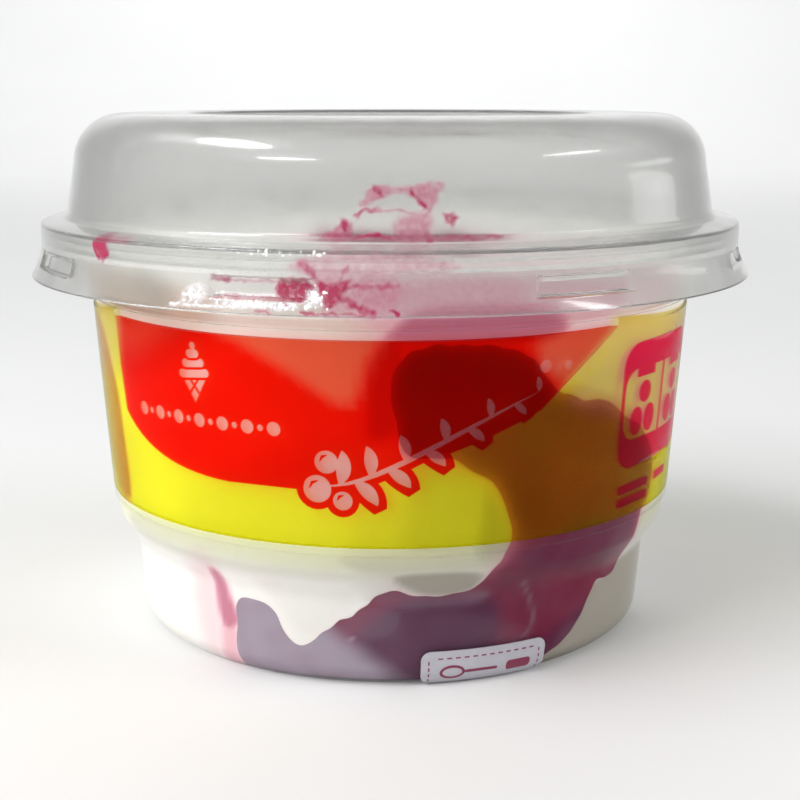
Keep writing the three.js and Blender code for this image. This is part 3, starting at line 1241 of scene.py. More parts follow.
@dataclass(frozen=True)
class LabelFilm:
    """Printed film round the body: a yellow ground, a red field at the front, and plain motifs."""

    cup: CupShell
    bottom: float = 18.4
    top: float = 46.35
    thickness: float = 0.25
    panel_top: float = 45.3
    panel_left: float = -58.0
    panel_right: float = 42.2
    leaves: int = 11
    pitch: float = 1.2
    hair: float = 0.01
    # Where a painted veil of reflected light pales the print: the red field's upper left and right end, the
    # yellow's top left, and the right side.
    glare_veils: tuple[Mark, ...] = (
        Mark(
            ((-31, 46.8), (-24.7, 44.2), (-17.1, 41.4), (-8.6, 37.7), (-5.5, 38.8), (-4, 42), (-3, 46.8)),
            1.0, 2.2
        ),
        Mark(((25, 44), (28.5, 39.8), (34, 39.5), (40.5, 43.2), (43, 46.5), (31, 47.5)), 1.0, 3.0),
        Mark(((-58, 47), (-55, 41.5), (-47, 42.5), (-38, 47)), 0.3, 4.0),
        Mark(((-96, 47), (-96, 40), (-68, 37), (-60, 39), (-57, 47)), 0.7, 5.0),
        Mark(
            ((43, 47), (38, 42), (33, 38.5), (33, 35.8), (46, 33), (54, 30.5), (66, 28), (96, 28), (96, 47)),
            0.94, 3.0
        ),
    )

    @property
    def reach(self) -> float:
        """Millimetres along the film for each degree round the cup."""
        middle = self.cup.radius_at(np.array([(self.bottom + self.top) / 2]))[0]
        return math.radians(middle)

    def at(self, angle: float, height: float) -> tuple[float, float]:
        """A place on the flat film."""
        return angle * self.reach, height

    def bend(self, flat: np.ndarray, share: float) -> np.ndarray:
        """Bends flat places round the cup, at a share of the film's thickness."""
        radius = self.cup.radius_at(flat[:, 1], -FILM_GAP - share * self.thickness)
        return round_axis(radius, np.radians(flat[:, 0] / self.reach), flat[:, 1])

    def front_panel(self) -> np.ndarray:
        """The red field: rounded at its lower left, and running up to a point at the right.

        Returns:
            The field's closed outline.
        """
        at = self.at
        return np.array([
            at(self.panel_left, self.panel_top),
            at(self.panel_left + 0.2, 39),
            *bezier(at(-56.9, 33), at(-50, 28.4), at(-38, 26.8), at(-27, 26.75)),
            *bezier(at(-16, 26.8), at(0, 28.6), at(16, 32.6), at(29, 37)),
            at(self.panel_right, self.panel_top),
        ])

    def sprig(self) -> list[PrintedShape]:
        """A pale sprig of leaves and berries along the red field's lower edge, with a red border.

        Returns:
            The sprig's fields of ink.
        """
        at = self.at
        stem = np.array(bezier(at(-11.5, 27.4), at(-2, 27.4), at(10, 34.6), at(29.5, 39.4)))
        heading = np.gradient(stem, axis=0)
        heading = np.arctan2(heading[:, 1], heading[:, 0])
        strokes = [(stem, 0.3)]
        for index, share in enumerate(np.linspace(0.1, 1.0, self.leaves)):
            spot = share * (len(stem) - 1)
            foot = np.array([np.interp(spot, np.arange(len(stem)), stem[:, axis]) for axis in (0, 1)])
            lean = np.interp(spot, np.arange(len(stem)), heading) + (0.95, -0.75)[index % 2]
            curl = np.linspace(0, 1, 9)[:, None]
            turns = lean + (0.35, -0.35)[index % 2] * curl
            size = 4.6 - 2.7 * share
            strokes.append((foot + size * curl * np.hstack([np.cos(turns), np.sin(turns)]), 0.2 * size))
        large = [(at(-12.6, 27.0), 1.75), (at(-10.9, 30.4), 1.45), (at(-8.2, 25.6), 1.2)]
        berries = [*large, (at(26.6, 41.4), 0.8), (at(31.2, 41.3), 0.6)]
        borders = [crescent(curve, width, 0.8) for curve, width in strokes]
        borders += [disc(spot, radius + 0.85) for spot, radius in berries]
        insides = [crescent(curve, width) for curve, width in strokes]
        insides += [disc(spot, radius) for spot, radius in berries]
        glints = []
        for (x, y), radius in large:
            glint = [(x - 0.55 * radius, y + 0.05), (x - 0.35 * radius, y + 0.45 * radius)]
            glints.append(crescent(np.array([*glint, (x + 0.1, y + 0.6 * radius)]), 0.16))
        return fields(Ink.RED, *borders) + fields(Ink.PALE, *insides) + fields(Ink.RED, *glints)

    def cone_sign(self) -> list[PrintedShape]:
        """A plain sign of whipped ice on a cone.

        Returns:
            The sign's fields of ink.
        """
        x, y = self.at(-35.5, 39.4)
        shapes = fields(Ink.PALE, np.array([(x - 1.9, y), (x, y - 3.2), (x + 1.9, y)]))
        shapes += fields(Ink.RED, *(capsule((x, y - 1.0), 2.6, 0.12, lean) for lean in (52, 128)))
        for lift, half in ((0.55, 2.5), (1.85, 1.85), (3.0, 1.1)):
            for one, radius in ((Ink.RED, 0.85), (Ink.PALE, 0.55)):
                shapes += fields(one, capsule((x, y + lift), 2 * half - 1.2, radius, 6))
        return shapes + fields(Ink.PALE, disc((x + 0.1, y + 4.0), 0.5))

    def pearls(self) -> list[PrintedShape]:
        """A row of pale dots under the sign, large and small by turns.

        Returns:
            The dots' fields of ink.
        """
        angles = np.linspace(-50, -20, 13)
        dots = [disc(self.at(angle, 34.1), (0.9, 0.42)[index % 2]) for index, angle in enumerate(angles)]
        return fields(Ink.PALE, *dots)

    def side_panel(self) -> list[PrintedShape]:
        """A magenta panel of two cells with plain signs, and two bars under it.

        Returns:
            The panel's fields of ink.
        """
        at = self.at
        cells = [plate(at(59.6, 29.8), at(60.3, 39.2))]
        for middle in (52.8, 67.1):
            cells.append(plate(at(middle - 3.2, 38.0), at(middle + 3.2, 39.2)))
            cells.append(disc(at(middle, 35.9), 1.45))
            cells += [disc(at(middle + side, 32.2), 1.45, 1.3) for side in (-2.4, 2.4)]
        for start, end, low in ((46.5, 57.6, 22.7), (46.5, 57.6, 20.9), (61.0, 68.0, 22.7)):
            cells.append(plate(at(start, low), at(end, low + 1.15), 0.1))
        return [
            PrintedShape(Ink.MAGENTA, plate(at(45.2, 26.0), at(74.8, 42.6), 3.2)),
            PrintedShape(Ink.YELLOW, plate(at(46.0, 29.8), at(74.0, 39.2), 2.6)),
            *fields(Ink.MAGENTA, *cells),
        ]

    def build(self, effects: SharedEffects) -> bpy.types.Object:
        """Makes the film.

        Args:
            effects: The shared node groups.

        Returns:
            The finished piece.
        """
        left, right = self.at(-180, 0)[0], self.at(180, 0)[0]
        steps = round((self.top - self.bottom) / self.pitch)
        heights = np.linspace(self.bottom, self.top, steps + 1)
        across = np.linspace(left, right, round((right - left) / self.pitch) + 1)
        edge = np.concatenate([
            np.stack([across, np.full_like(across, self.bottom)], 1),
            np.stack([np.full(steps, right), heights[1:]], 1),
            np.stack([across[-2::-1], np.full(len(across) - 1, self.top)], 1),
            np.stack([np.full(steps - 1, left), heights[-2:0:-1]], 1),
        ])
        hair, at = self.hair, self.at
        ground = plate((left + hair, self.bottom + hair), (right - hair, self.top - hair))
        strip = plate(at(self.panel_left, self.panel_top), at(self.panel_right, self.top - 2 * hair))
        shapes = [
            PrintedShape(Ink.YELLOW, ground),
            PrintedShape(Ink.BARE, strip),
            PrintedShape(Ink.RED, self.front_panel()),
            *self.sprig(),
            *self.cone_sign(),
            *self.pearls(),
            *self.side_panel(),
        ]
        sheet = PrintedSheet(edge, shapes, self.bend, self.pitch, closed=True)
        film = sheet.skin().piece("label_film", [one.value.material(effects) for one in Ink])
        points = points_of(film.data)
        # The film's points store the painted veil of reflected light as fade.
        put_values(film.data, "fade", marked(self.glare_veils, turn_of(points), points[:, 2]))
        settle(film, "printed_film", "label")
        return film


@dataclass(frozen=True)
class SpoonSticker:
    """White paper sticker at the foot of the bowl, with a dashed border and a spoon sign."""

    cup: CupShell
    angle: float = 19.5
    width: float = 17.4
    bottom: float = 0.25
    top: float = 4.9
    thickness: float = 0.2
    corner: float = 1.3
    inset: float = 1.0
    dash: tuple[float, float] = (0.65, 1.15)  # length and pitch along the top
    side_dash: tuple[float, float] = (0.5, 0.85)
    line: float = 0.1  # half a dash's width

    def bend(self, flat: np.ndarray, share: float) -> np.ndarray:
        """Bends flat places round the bowl, at a share of the paper's thickness.

        Args:
            flat: Places on the flat paper.
            share: 0 for its back and 1 for its face.

        Returns:
            The bent places.
        """
        radius = self.cup.radius_at(flat[:, 1], -FILM_GAP - share * self.thickness)
        turn = math.radians(self.angle) + flat[:, 0] / self.cup.bowl_radius
        return round_axis(radius, turn, flat[:, 1])

    def build(self, effects: SharedEffects) -> bpy.types.Object:
        """Makes the sticker.

        Args:
            effects: The shared node groups.

        Returns:
            The finished piece.
        """
        half = self.width / 2
        edge = resampled(plate((-half, self.bottom), (half, self.top), self.corner), 0.5)
        upper, line = self.top - self.inset, self.line
        marks = []
        length, pitch = self.dash
        for x in np.arange(-half + 2.2, half - 2.0, pitch):
            marks.append(plate((x, upper - line), (x + length, upper + line)))
        length, pitch = self.side_dash
        for side in (-half + self.inset, half - self.inset):
            for y in np.arange(self.bottom + 0.3, upper - 0.6, pitch):
                marks.append(plate((side - line, y), (side + line, y + length)))
        middle = (self.bottom + upper) / 2 - 0.15
        bowl = (-4.6, middle)
        marks.append(disc(bowl, 1.7, 0.6))
        marks.append(plate((-3.0, middle - 0.22), (1.6, middle + 0.22), 0.2))
        marks.append(plate((2.8, middle - 0.7), (6.4, middle + 0.7), 0.5))
        shapes = fields(PaperInk.MAROON, *marks) + fields(PaperInk.PAPER, disc(bowl, 1.3, 0.5))
        sheet = PrintedSheet(edge, shapes, self.bend, 0.6)
        inks = [PaperFinish(f"sticker_{one.name.lower()}", one.value).material(effects) for one in PaperInk]
        sticker = sheet.skin().piece("spoon_sticker", inks)
        settle(sticker, "sticker_paper", "sticker")
        return sticker


# ---- food ---------------------------------------------------------------------------------------------


@dataclass(frozen=True)
class Filling:
    """The cup's whole filling, before it is shared out between cream and sauce."""

    cup: CupShell
    edge_height: float = 53.2
    level: float = 1e-4  # how near to the edge's height the top is found
    mound: float = 1.3
    wave: float = 0.45
    waves: int = 3
    wave_twist: float = 5.0
    ridge: float = 0.32
    ridges: float = 7.0
    rough: float = 0.16
    columns: int = 320
    row_step: float = 0.6

    def relief(self, points: np.ndarray, edge_radius: float) -> np.ndarray:
        """Height of the food's top over its edge: a low mound with swirled spatula ridges.

        Args:
            points: Places on the food's top.
            edge_radius: The radius of the top's edge.

        Returns:
            One height for each place.
        """
        inward = np.clip(1 - np.hypot(points[:, 0], points[:, 1]) / edge_radius, 0, 1)
        turn = np.arctan2(points[:, 0], -points[:, 1])
        swell = np.sin(inward * math.pi / 2)
        long_waves = np.sin(self.waves * turn + self.wave_twist * inward) * np.sin(inward * math.pi)
        curl = np.sin(2 * math.pi * self.ridges * inward + 2 * turn + 0.7 * ripple(points[:, :2], 22, 3))
        fade = step_between(inward, 0.0, 0.15) * (1 - step_between(inward, 0.8, 0.97))
        rough = ripple(points[:, :2], 5.5, 4) + 0.5 * ripple(points[:, :2], 2.4, 5)
        return self.mound * swell + self.wave * long_waves + fade * (self.ridge * curl + self.rough * rough)

    def solid(self, reach: float, lift: float) -> Skin:
        """The filling as a closed skin that reaches a little way into the wall.

        Args:
            reach: How far it reaches past the cup's inner wall.
            lift: How far its top is raised.

        Returns:
            The filling's skin.
        """
        inner = offset(self.cup.outside(), self.cup.wall - reach)
        height = self.edge_height + lift
        below = inner[inner[:, 1] < height]
        edge = np.array([self.cup.radius_at(np.array([height]), self.cup.wall - reach)[0], height])
        rings = np.linspace(edge[0], 0, round(edge[0] / self.row_step))[1:]
        top = np.stack([rings, np.full_like(rings, height)], 1)
        outline = np.concatenate([resampled(np.vstack([below, edge]), self.row_step), top])
        skin = turned(outline, self.columns)
        crown = skin.points[:, 2] > height - self.level
        skin.points[crown, 2] += self.relief(skin.points[crown], edge[0])
        return skin


class Marbling:
    """Where the sauce meets the wall, at the front and in a drift at the back, and the tones at the front."""

    FOLD = (
        (-0.2, 39.3), (0.4, 42.0), (1.8, 43.5), (4.8, 44.1), (11.2, 44.3), (18, 44.1), (22.7, 43.5),
        (25.4, 42.4), (27.6, 40.0), (29.8, 38.4), (32.2, 37.9), (34.9, 37.1), (40.6, 35.8),
        (44.9, 34.3), (50.6, 31.9), (56.3, 29.7), (60.0, 26.6), (61.4, 22.9), (60.8, 20.3),
        (57.6, 17.9), (57.2, 15.4), (57.0, 12.0), (54.5, 10.4), (48.9, 10.3), (47.0, 9.0), (45.8, 7.4),
        (42.8, 5.2), (39.4, 3.7), (34.6, 2.0), (27, 0.6), (18, -1.6), (2, -2), (-14, -2), (-26, -2),
        (-32.5, -1.6), (-34.2, 0.8), (-34.2, 4.2), (-33.6, 7.2), (-33.2, 9.2), (-31.4, 10.0),
        (-28.5, 10.5), (-26.0, 10.2), (-23.6, 9.2), (-22.5, 7.6), (-21.5, 6.1), (-20.4, 5.3),
        (-18.7, 5.0), (-16.1, 5.6), (-13.3, 6.9), (-10.3, 8.8), (-8, 10.0), (-5.4, 11.2), (-2.9, 12.6),
        (-1.2, 13.8), (1.2, 13.7), (3.6, 13.1), (7.6, 12.6), (12.6, 12.5), (16.4, 13.4), (17.8, 15.0),
        (20.5, 16.6), (22.0, 18.6), (21.9, 20.2), (21.4, 23.1), (19.0, 26.5), (15.7, 28.6),
        (11.7, 30.7), (8.7, 31.2), (6.1, 30.9), (3.4, 31.2), (1.5, 32.9), (0.2, 35.9),
    )
    DRIFT = (
        (-197, 40), (-187, 43.5), (-177, 42.5), (-168, 37), (-158, 32), (-149, 30), (-142, 31), (-139.5, 28),
        (-146, 24.5), (-158, 25), (-170, 29), (-180, 33), (-191, 33.5),
    )
    STAINS = (
        Mark(((-38.6, 13.9), (-36.2, 13.9), (-34.9, 10.6), (-32.9, 6.8), (-37.0, 5.2), (-38.8, 9)), 0.8, 1.7),
        Mark(((-38.0, 6.6), (-33.4, 6.6), (-33.2, -2.0), (-39.6, -2.0), (-39.0, 2.0)), 0.46, 2.8),
        Mark(((-44.5, 13.4), (-37, 15.8), (-36, 8), (-39, -1), (-43, 0.5), (-46, 7)), 0.24, 5.0),
        Mark(
            ((-82, 44), (-70, 43), (-64, 36), (-62.6, 31), (-61.8, 21.6), (-64, 19.6), (-72, 20.5),
             (-82, 27), (-89, 35), (-88, 41)), 0.9, 1.4
        ),
        Mark(((0.5, 44.5), (2.2, 48.4), (8, 49.6), (22, 49.4), (31, 47.2), (28, 44.5)), 0.86, 2.6),
        Mark(((-4.2, 33.0), (-4.8, 38.0), (-3.6, 43.0), (-0.5, 46.0), (3.0, 44.0), (1.5, 34.0)), 0.74, 3.2),
        Mark(((-2, 44), (-5, 51), (10, 53.5), (30, 54), (62, 50), (52, 44.5), (20, 43.5)), 0.26, 5.0),
        Mark(((-2, 45.5), (-4, 51), (12, 53), (40, 51.5), (42, 46.5), (8, 44.5)), 0.42, 4.0),
        Mark(((26, 45.5), (31, 38.6), (44, 34.5), (58, 28), (70, 28), (76, 44), (50, 46)), 0.14, 4.0),
        Mark(((44, 9.6), (52, 9.8), (62, 14), (62, 4), (44, 1)), 0.06, 3.0),
    )
    # Painted shade on the cream where the light falls off: at the right, low down, under the film's edge, and
    # at the upper left under the lid. At the eye and the lobe it also greys thin cream over sauce.
    PAINTED_SHADES = (
        Mark(
            ((0, 15.4), (3.6, 13.2), (9, 12.2), (15.5, 12.8), (17.6, 15.2), (14, 16.2), (4, 16.3)), 0.92, 1.8
        ),
        Mark(((0.5, 18), (3, 29), (9, 31.5), (17, 29), (23, 22), (22.5, 16)), 0.52, 7.0),
        Mark(((14.5, 17), (16, 27), (19, 26), (23, 22), (23, 17)), 0.8, 5.0),
        Mark(((40, 9.5), (50, 10.6), (62, 13), (76, 13), (74, -1), (34, -1)), 0.92, 2.4),
        Mark(((-5, 12.0), (0.5, 15.5), (2.5, 14), (1, 11.5)), 0.3, 1.4),
        Mark(((-75, 45.4), (-48, 45.4), (-40, 47), (-42, 51.5), (-75, 52)), 0.6, 4.0),
        Mark(((30, 36), (42, 34.5), (56, 28), (56, 31), (44, 37), (32, 39)), 0.5, 3.0),
        Mark(((-8, 18.8), (-4, 15.4), (20, 15.5), (24, 18.8)), 0.54, 3.0),
        Mark(((-8, 22), (6, 31), (30, 40), (60, 42), (90, 38), (90, 2), (40, 4), (-4, 12)), 0.34, 8.0),
        Mark(((-58, 18.6), (-58, 15.2), (0, 14.5), (0, 18.6)), 0.28, 2.4),
        Mark(((-66, 48), (-64, 38), (-46, 40), (-30, 47)), 0.38, 7.0),
        Mark(((-40, 18), (-34, 27), (-10, 32), (2, 28), (0, 18)), 0.16, 6.0),
        Mark(((-28, 14), (-20, 7), (-14, 7), (-4, 13), (-4, 15), (-28, 15)), 0.14, 3.0),
    )
    # Painted warm shade on the neck under the lid's skirt, with reddish light bounced from the red film.
    PAINTED_WARM_SHADES = (
        Mark(((-75, 45.6), (-36, 45.6), (-32, 50), (-75, 50.5)), 1.0, 4.0),
        Mark(((-40, 45.6), (0, 45.6), (4, 47), (-4, 49), (-40, 50)), 0.45, 2.4),
    )
    # Painted shade on the sauce: low at the front, near the foot at the right, and along the step under the
    # film.
    PAINTED_SAUCE_SHADES = (
        Mark(((-4, 9), (4, 12), (14, 12), (21, 11), (22, 6), (16, -2), (-10, -2.5), (-9, 4)), 0.85, 3.0),
        Mark(((33, -1), (31, 2.5), (37, 5.5), (46, 7.5), (47, 5), (40, -1)), 0.6, 2.0),
        Mark(((26, 18), (40, 20.5), (55, 18), (52, 13), (38, 13.5), (27, 15)), 0.4, 2.4),
    )
    # Milky sauce where cream is stirred in, and one painted glint.
    MILK_AND_GLINT = (
        Mark(((26.6, 13.3), (29.2, 10.6), (30.5, 7.4), (29.2, 5.6), (25.0, 4.5)), 0.3, 0.8, 0.22),
        Mark(((-2.6, 10.8), (-4.0, 9.6), (-4.0, 7.9), (-4.5, 6.7)), 0.34, 0.7, 0.2),
        Mark(((-4.0, 7.9), (-1.2, 7.5), (0.8, 7.9)), 0.3, 0.7, 0.18),
        # A painted glint: a small white fleck.
        Mark(((-7.9, 6.6), (-7.5, 5.9)), 0.9, 0.5, 0.15),
        Mark(((-5.0, 11.6), (1.8, 10.4), (9.8, 10.6), (18.1, 11.0), (18, 12.8), (0, 13.6)), 0.24, 1.8),
        Mark(((-12, 10.5), (4, 11.0), (20, 8.5), (31, 4.5), (36, -2), (-12, -2.5)), 0.1, 3.0),
        Mark(((2, 33), (1, 42), (12, 44), (24, 42.5), (27, 39), (12, 32.5)), 0.2, 4.0),
        Mark(((48, 17.5), (57, 18), (56.5, 12), (51, 10.5)), 0.08, 2.5),
        Mark(((-10, 11), (-3, 11.5), (2, 10), (0, 7), (-10, 6)), 0.24, 2.4),
        Mark(((35, 1), (38, 4.5), (43, 5), (42, 1)), 0.14, 2.0),
    )

    LAVENDER = 0.95
    LAVENDER_LEFT = (-64, -48)  # degrees
    LAVENDER_RIGHT = (-2, 10)  # degrees plus twice the height, so that its border leans
    LAVENDER_TOP = (12, 16)  # heights
    CRISP = Mark(((-36, 8), (-30, 13), (-22, 12), (-4, 15), (0, 11), (-18, 2)), 1.0, 3.0)

    @classmethod
    def lavender(cls, turns: np.ndarray, heights: np.ndarray) -> np.ndarray:
        """How milky the sauce is at the left of the foot.

        Args:
            turns: Angles in degrees.
            heights: Heights above the base.

        Returns:
            One share for each place.
        """
        right = 1 - step_between(turns + 2 * heights, *cls.LAVENDER_RIGHT)
        across = step_between(turns, *cls.LAVENDER_LEFT) * right
        return cls.LAVENDER * across * (1 - step_between(heights, *cls.LAVENDER_TOP))

    @classmethod
    def bite(cls, turns: np.ndarray, heights: np.ndarray) -> np.ndarray:
        """How much sauce and cream run into each other: little along the crisp edge at the left."""
        return 1 - 0.8 * cls.CRISP.values(turns, heights)


@dataclass
class MarbledFood:
    """Cream with berry sauce folded through it, cut apart along the sauce's surface."""

    cup: CupShell
    filling: Filling
    coarse_voxel: float = 1.0
    voxel: float = 0.9
    spill: float = 1.6
    near_wall: float = 0.15
    near_floor: float = 0.05
    crown: float = 1.6
    smoothing: int = 3
    swirl: float = 0.28
    back_from: tuple[float, float] = (84.0, 104.0)  # degrees from the front
    back_swell: float = 1.2
    back_twist: float = 7.0  # degrees
    cream_reach: float = 0.08
    sauce_reach: float = 0.16
    front: tuple[float, float, float] = (80.0, -3.0, 51.5)  # half its angle, lowest and highest
    front_depth: float = 4.0
    per_degree: float = 0.66
    soak: float = 1.25
    edge_width: float = 0.8

    def bend(self, flat: np.ndarray, share: float) -> np.ndarray:
        """Bends flat places round the food's wall, from inside it to a little way outside.

        Args:
            flat: Flat places.
            share: 0 for inside the food and 1 for outside.

        Returns:
            The bent places.
        """
        wall = self.cup.radius_at(flat[:, 1], self.cup.wall)
        radius = wall - self.front_depth + share * (self.front_depth + self.spill)
        return round_axis(radius, np.radians(flat[:, 0] / self.per_degree), flat[:, 1])

    def block(self, name: str, outline: np.ndarray) -> bpy.types.Object:
        """A block along the food's wall inside an outline of angles and heights."""
        flat = resampled(np.vstack([outline, outline[:1]]) * (self.per_degree, 1), 1.0)[:-1]
        return PrintedSheet(flat, [], self.bend, 1.2).skin().piece(name, [])

    def lumps(self) -> bpy.types.Object:
        """The sauce's lumps, smoothed from the frame's faceted ones and carried on past the food's skin.

        Returns:
            A closed mesh that sticks out of the filling wherever the sauce shows.
        """
        lumps = placed("sauce_lumps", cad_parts["berry_sauce"].data.copy())
        points = points_of(lumps.data)
        radius = np.hypot(points[:, 0], points[:, 1])
        wall = self.cup.radius_at(points[:, 2], self.cup.wall + FIT_GAP)
        low, high = points[:, 2].min(), points[:, 2].max()
        outwards = points.copy()
        outwards[:, 2] = 0
        outwards /= np.maximum(radius, 1e-6)[:, None]
        at_wall = (radius > wall - self.near_wall) & (points[:, 2] > low + self.near_floor)
        points[at_wall] += outwards[at_wall] * self.spill
        points[points[:, 2] < low + self.near_floor, 2] -= self.spill
        points[(points[:, 2] > high - self.crown) & (radius < wall - self.near_wall), 2] += self.spill
        put_points(lumps.data, points)
        self.remesh(lumps, self.coarse_voxel, 0)
        half, low, high = self.front
        front = self.block("front", plate((-half, low), (half, high)))
        self.cut(lumps, front, "DIFFERENCE")
        bpy.data.objects.remove(front)
        for name, outline in (("fold", Marbling.FOLD), ("drift", Marbling.DRIFT)):
            self.join(lumps, self.block(name, looped(outline)))
        self.remesh(lumps, self.voxel, self.smoothing)
        points = points_of(lumps.data)
        swell = ripple(points, 9, 11) + 0.5 * ripple(points, 3.6, 12)
        put_points(lumps.data, points + normals_of(lumps.data) * (self.swirl * swell)[:, None])
        self.drag(lumps)
        return lumps

    def drag(self, lumps: bpy.types.Object) -> None:
        """Draws the lumps at the back out into wavy streaks, as a spatula leaves them.

        Args:
            lumps: The sauce's lumps.
        """
        points, normals = points_of(lumps.data), normals_of(lumps.data)
        behind = step_between(np.abs(turn_of(points)), *self.back_from)
        outwards = round_axis(1.0, np.radians(turn_of(points)), 0.0)
        sideways = normals - outwards * (normals * outwards).sum(1)[:, None]
        points += sideways * (self.back_swell * behind * ripple(points, 13, 13))[:, None]
        turns, heights = turn_of(points), points[:, 2]
        turns += self.back_twist * behind * np.sin(heights / 5 + turns / 20)
        radius = np.hypot(points[:, 0], points[:, 1])
        put_points(lumps.data, round_axis(radius, np.radians(turns), heights))

    def remesh(self, piece: bpy.types.Object, voxel: float, smoothing: int) -> None:
        """Rebuilds a piece's mesh from cubes of a size, and smooths and refines it.

        Args:
            piece: The piece to rebuild.
            voxel: The cubes' size.
            smoothing: Rounds of smoothing, and none if 0.
        """
        fine = piece.modifiers.new("fine", "REMESH")
        fine.mode = "VOXEL"
        fine.voxel_size = voxel * MM
        if smoothing:
            soft = piece.modifiers.new("soft", "SMOOTH")
            soft.factor = 0.5
            soft.iterations = smoothing
            piece.modifiers.new("finer", "SUBSURF").levels = 1
        self.apply(piece)

    @staticmethod
    def join(piece: bpy.types.Object, other: bpy.types.Object) -> None:
        """Adds another piece's faces to a piece, and removes the other.

        Args:
            piece: The piece that grows.
            other: The piece that it takes in.
        """
        work = bmesh.new()
        work.from_mesh(piece.data)
        work.from_mesh(other.data)
        work.to_mesh(piece.data)
        work.free()
        bpy.data.objects.remove(other)

    @staticmethod
    def apply(piece: bpy.types.Object) -> None:
        """Applies a piece's modifiers to its mesh.

        Args:
            piece: The piece with the modifiers.
        """
        shown = piece.evaluated_get(bpy.context.evaluated_depsgraph_get())
        mesh = bpy.data.meshes.new_from_object(shown)
        piece.modifiers.clear()
        piece.data = mesh

    def cut(self, piece: bpy.types.Object, tool: bpy.types.Object, way: str) -> None:
        """Cuts a piece with another.

        Args:
            piece: The piece, which the result replaces.
            tool: The piece that cuts it.
            way: The Boolean operation's name.
        """
        cut = piece.modifiers.new("cut", "BOOLEAN")
        cut.operation = way
        cut.solver = "MANIFOLD"
        cut.object = tool
        self.apply(piece)
        shade(piece.data)

    @staticmethod
    def gaps(points: np.ndarray, other: bpy.types.Object, limit: float) -> np.ndarray:
        """Distance of each place from another piece, up to a limit, in millimetres.

        Args:
            points: The places.
            other: The other piece.
            limit: The longest distance.

        Returns:
            One distance for each place.
        """
        corners = [vertex.co.copy() for vertex in other.data.vertices]
        near = BVHTree.FromPolygons(corners, [face.vertices[:] for face in other.data.polygons])
        found = (near.find_nearest(Vector(spot), limit * MM)[3] for spot in points * MM)
        return np.array([limit if gap is None else gap / MM for gap in found])

    def dress_cream(self, cream: bpy.types.Object, sauce: bpy.types.Object) -> None:
        """Stores the cream's tones at each of its points: stains by the sauce, painted shade and painted
        glow.

        Args:
            cream: The cream's piece.
            sauce: The sauce's piece beside it.
        """
        points = points_of(cream.data)
        turns, heights = turn_of(points), points[:, 2]
        bite = Marbling.bite(turns, heights)
        width = self.soak * np.clip(1 + 0.35 * ripple(points, 7, 21), 0.4, 2) * (0.45 + 0.55 * bite)
        strength = (0.3 + 0.3 * step_between(heights, 15, 20)) * bite
        soaked = strength * np.exp(-self.gaps(points, sauce, 10) / width)
        stain = np.maximum(soaked, marked(Marbling.STAINS, turns, heights))
        put_values(cream.data, "stain", np.clip(stain, 0, 1))
        # Painted shade, and painted warm shade under the lid's skirt.
        put_values(cream.data, "shade", marked(Marbling.PAINTED_SHADES, turns, heights))
        put_values(cream.data, "warmth", marked(Marbling.PAINTED_WARM_SHADES, turns, heights))
        # Painted glow of light through the yellow film, on the band of cream just under it, at the front.
        front = 1 - step_between(np.abs(turns), 70, 100)
        film_glow_band = step_between(heights, 14.2, 17.8) * (1 - step_between(heights, 18.5, 22))
        put_values(cream.data, "tinge", front * film_glow_band)

    def dress_sauce(self, sauce: bpy.types.Object, cream: bpy.types.Object) -> None:
        """Stores the sauce's tones at each of its points: milky with one painted glint, painted shade, paler
        along the cream.

        Args:
            sauce: The sauce's piece.
            cream: The cream's piece beside it.
        """
        points = points_of(sauce.data)
        turns, heights = turn_of(points), points[:, 2]
        streaks = 0.02 + 0.025 * ripple(points, 11, 31) + 0.01 * ripple(points, 4, 32)
        lavender = Marbling.lavender(turns, heights) * (1 + 0.1 * ripple(points, 5, 33))
        # Milky sauce, and one painted glint.
        milk = np.maximum(lavender, marked(Marbling.MILK_AND_GLINT, turns, heights))
        put_values(sauce.data, "milk", np.clip(milk + streaks, 0, 1))
        # Painted shade on the sauce.
        put_values(sauce.data, "dusk", marked(Marbling.PAINTED_SAUCE_SHADES, turns, heights))
        edge = np.exp(-self.gaps(points, cream, 4) / self.edge_width) * Marbling.bite(turns, heights)
        put_values(sauce.data, "edge", 0.6 * edge * step_between(heights, 12, 18))

    def build(self, effects: SharedEffects) -> tuple[bpy.types.Object, bpy.types.Object]:
        """Makes the cream and the sauce.

        Args:
            effects: The shared node groups.

        Returns:
            The cream's piece and the sauce's.
        """
        lumps = self.lumps()
        cream_skin = self.filling.solid(self.cream_reach, 0.0)
        sauce_skin = self.filling.solid(self.sauce_reach, 0.12)
        cream = cream_skin.piece("gelato_body", [CreamFinish().material(effects)])
        sauce = sauce_skin.piece("sauce_body", [SauceFinish().material(effects)])
        self.cut(cream, lumps, "DIFFERENCE")
        self.cut(sauce, lumps, "INTERSECT")
        bpy.data.objects.remove(lumps)
        self.dress_cream(cream, sauce)
        self.dress_sauce(sauce, cream)
        settle(cream, "cream", "gelato")
        settle(sauce, "sauce", "berry_sauce")
        return cream, sauce


# ---- smears -------------------------------------------------------------------------------------------


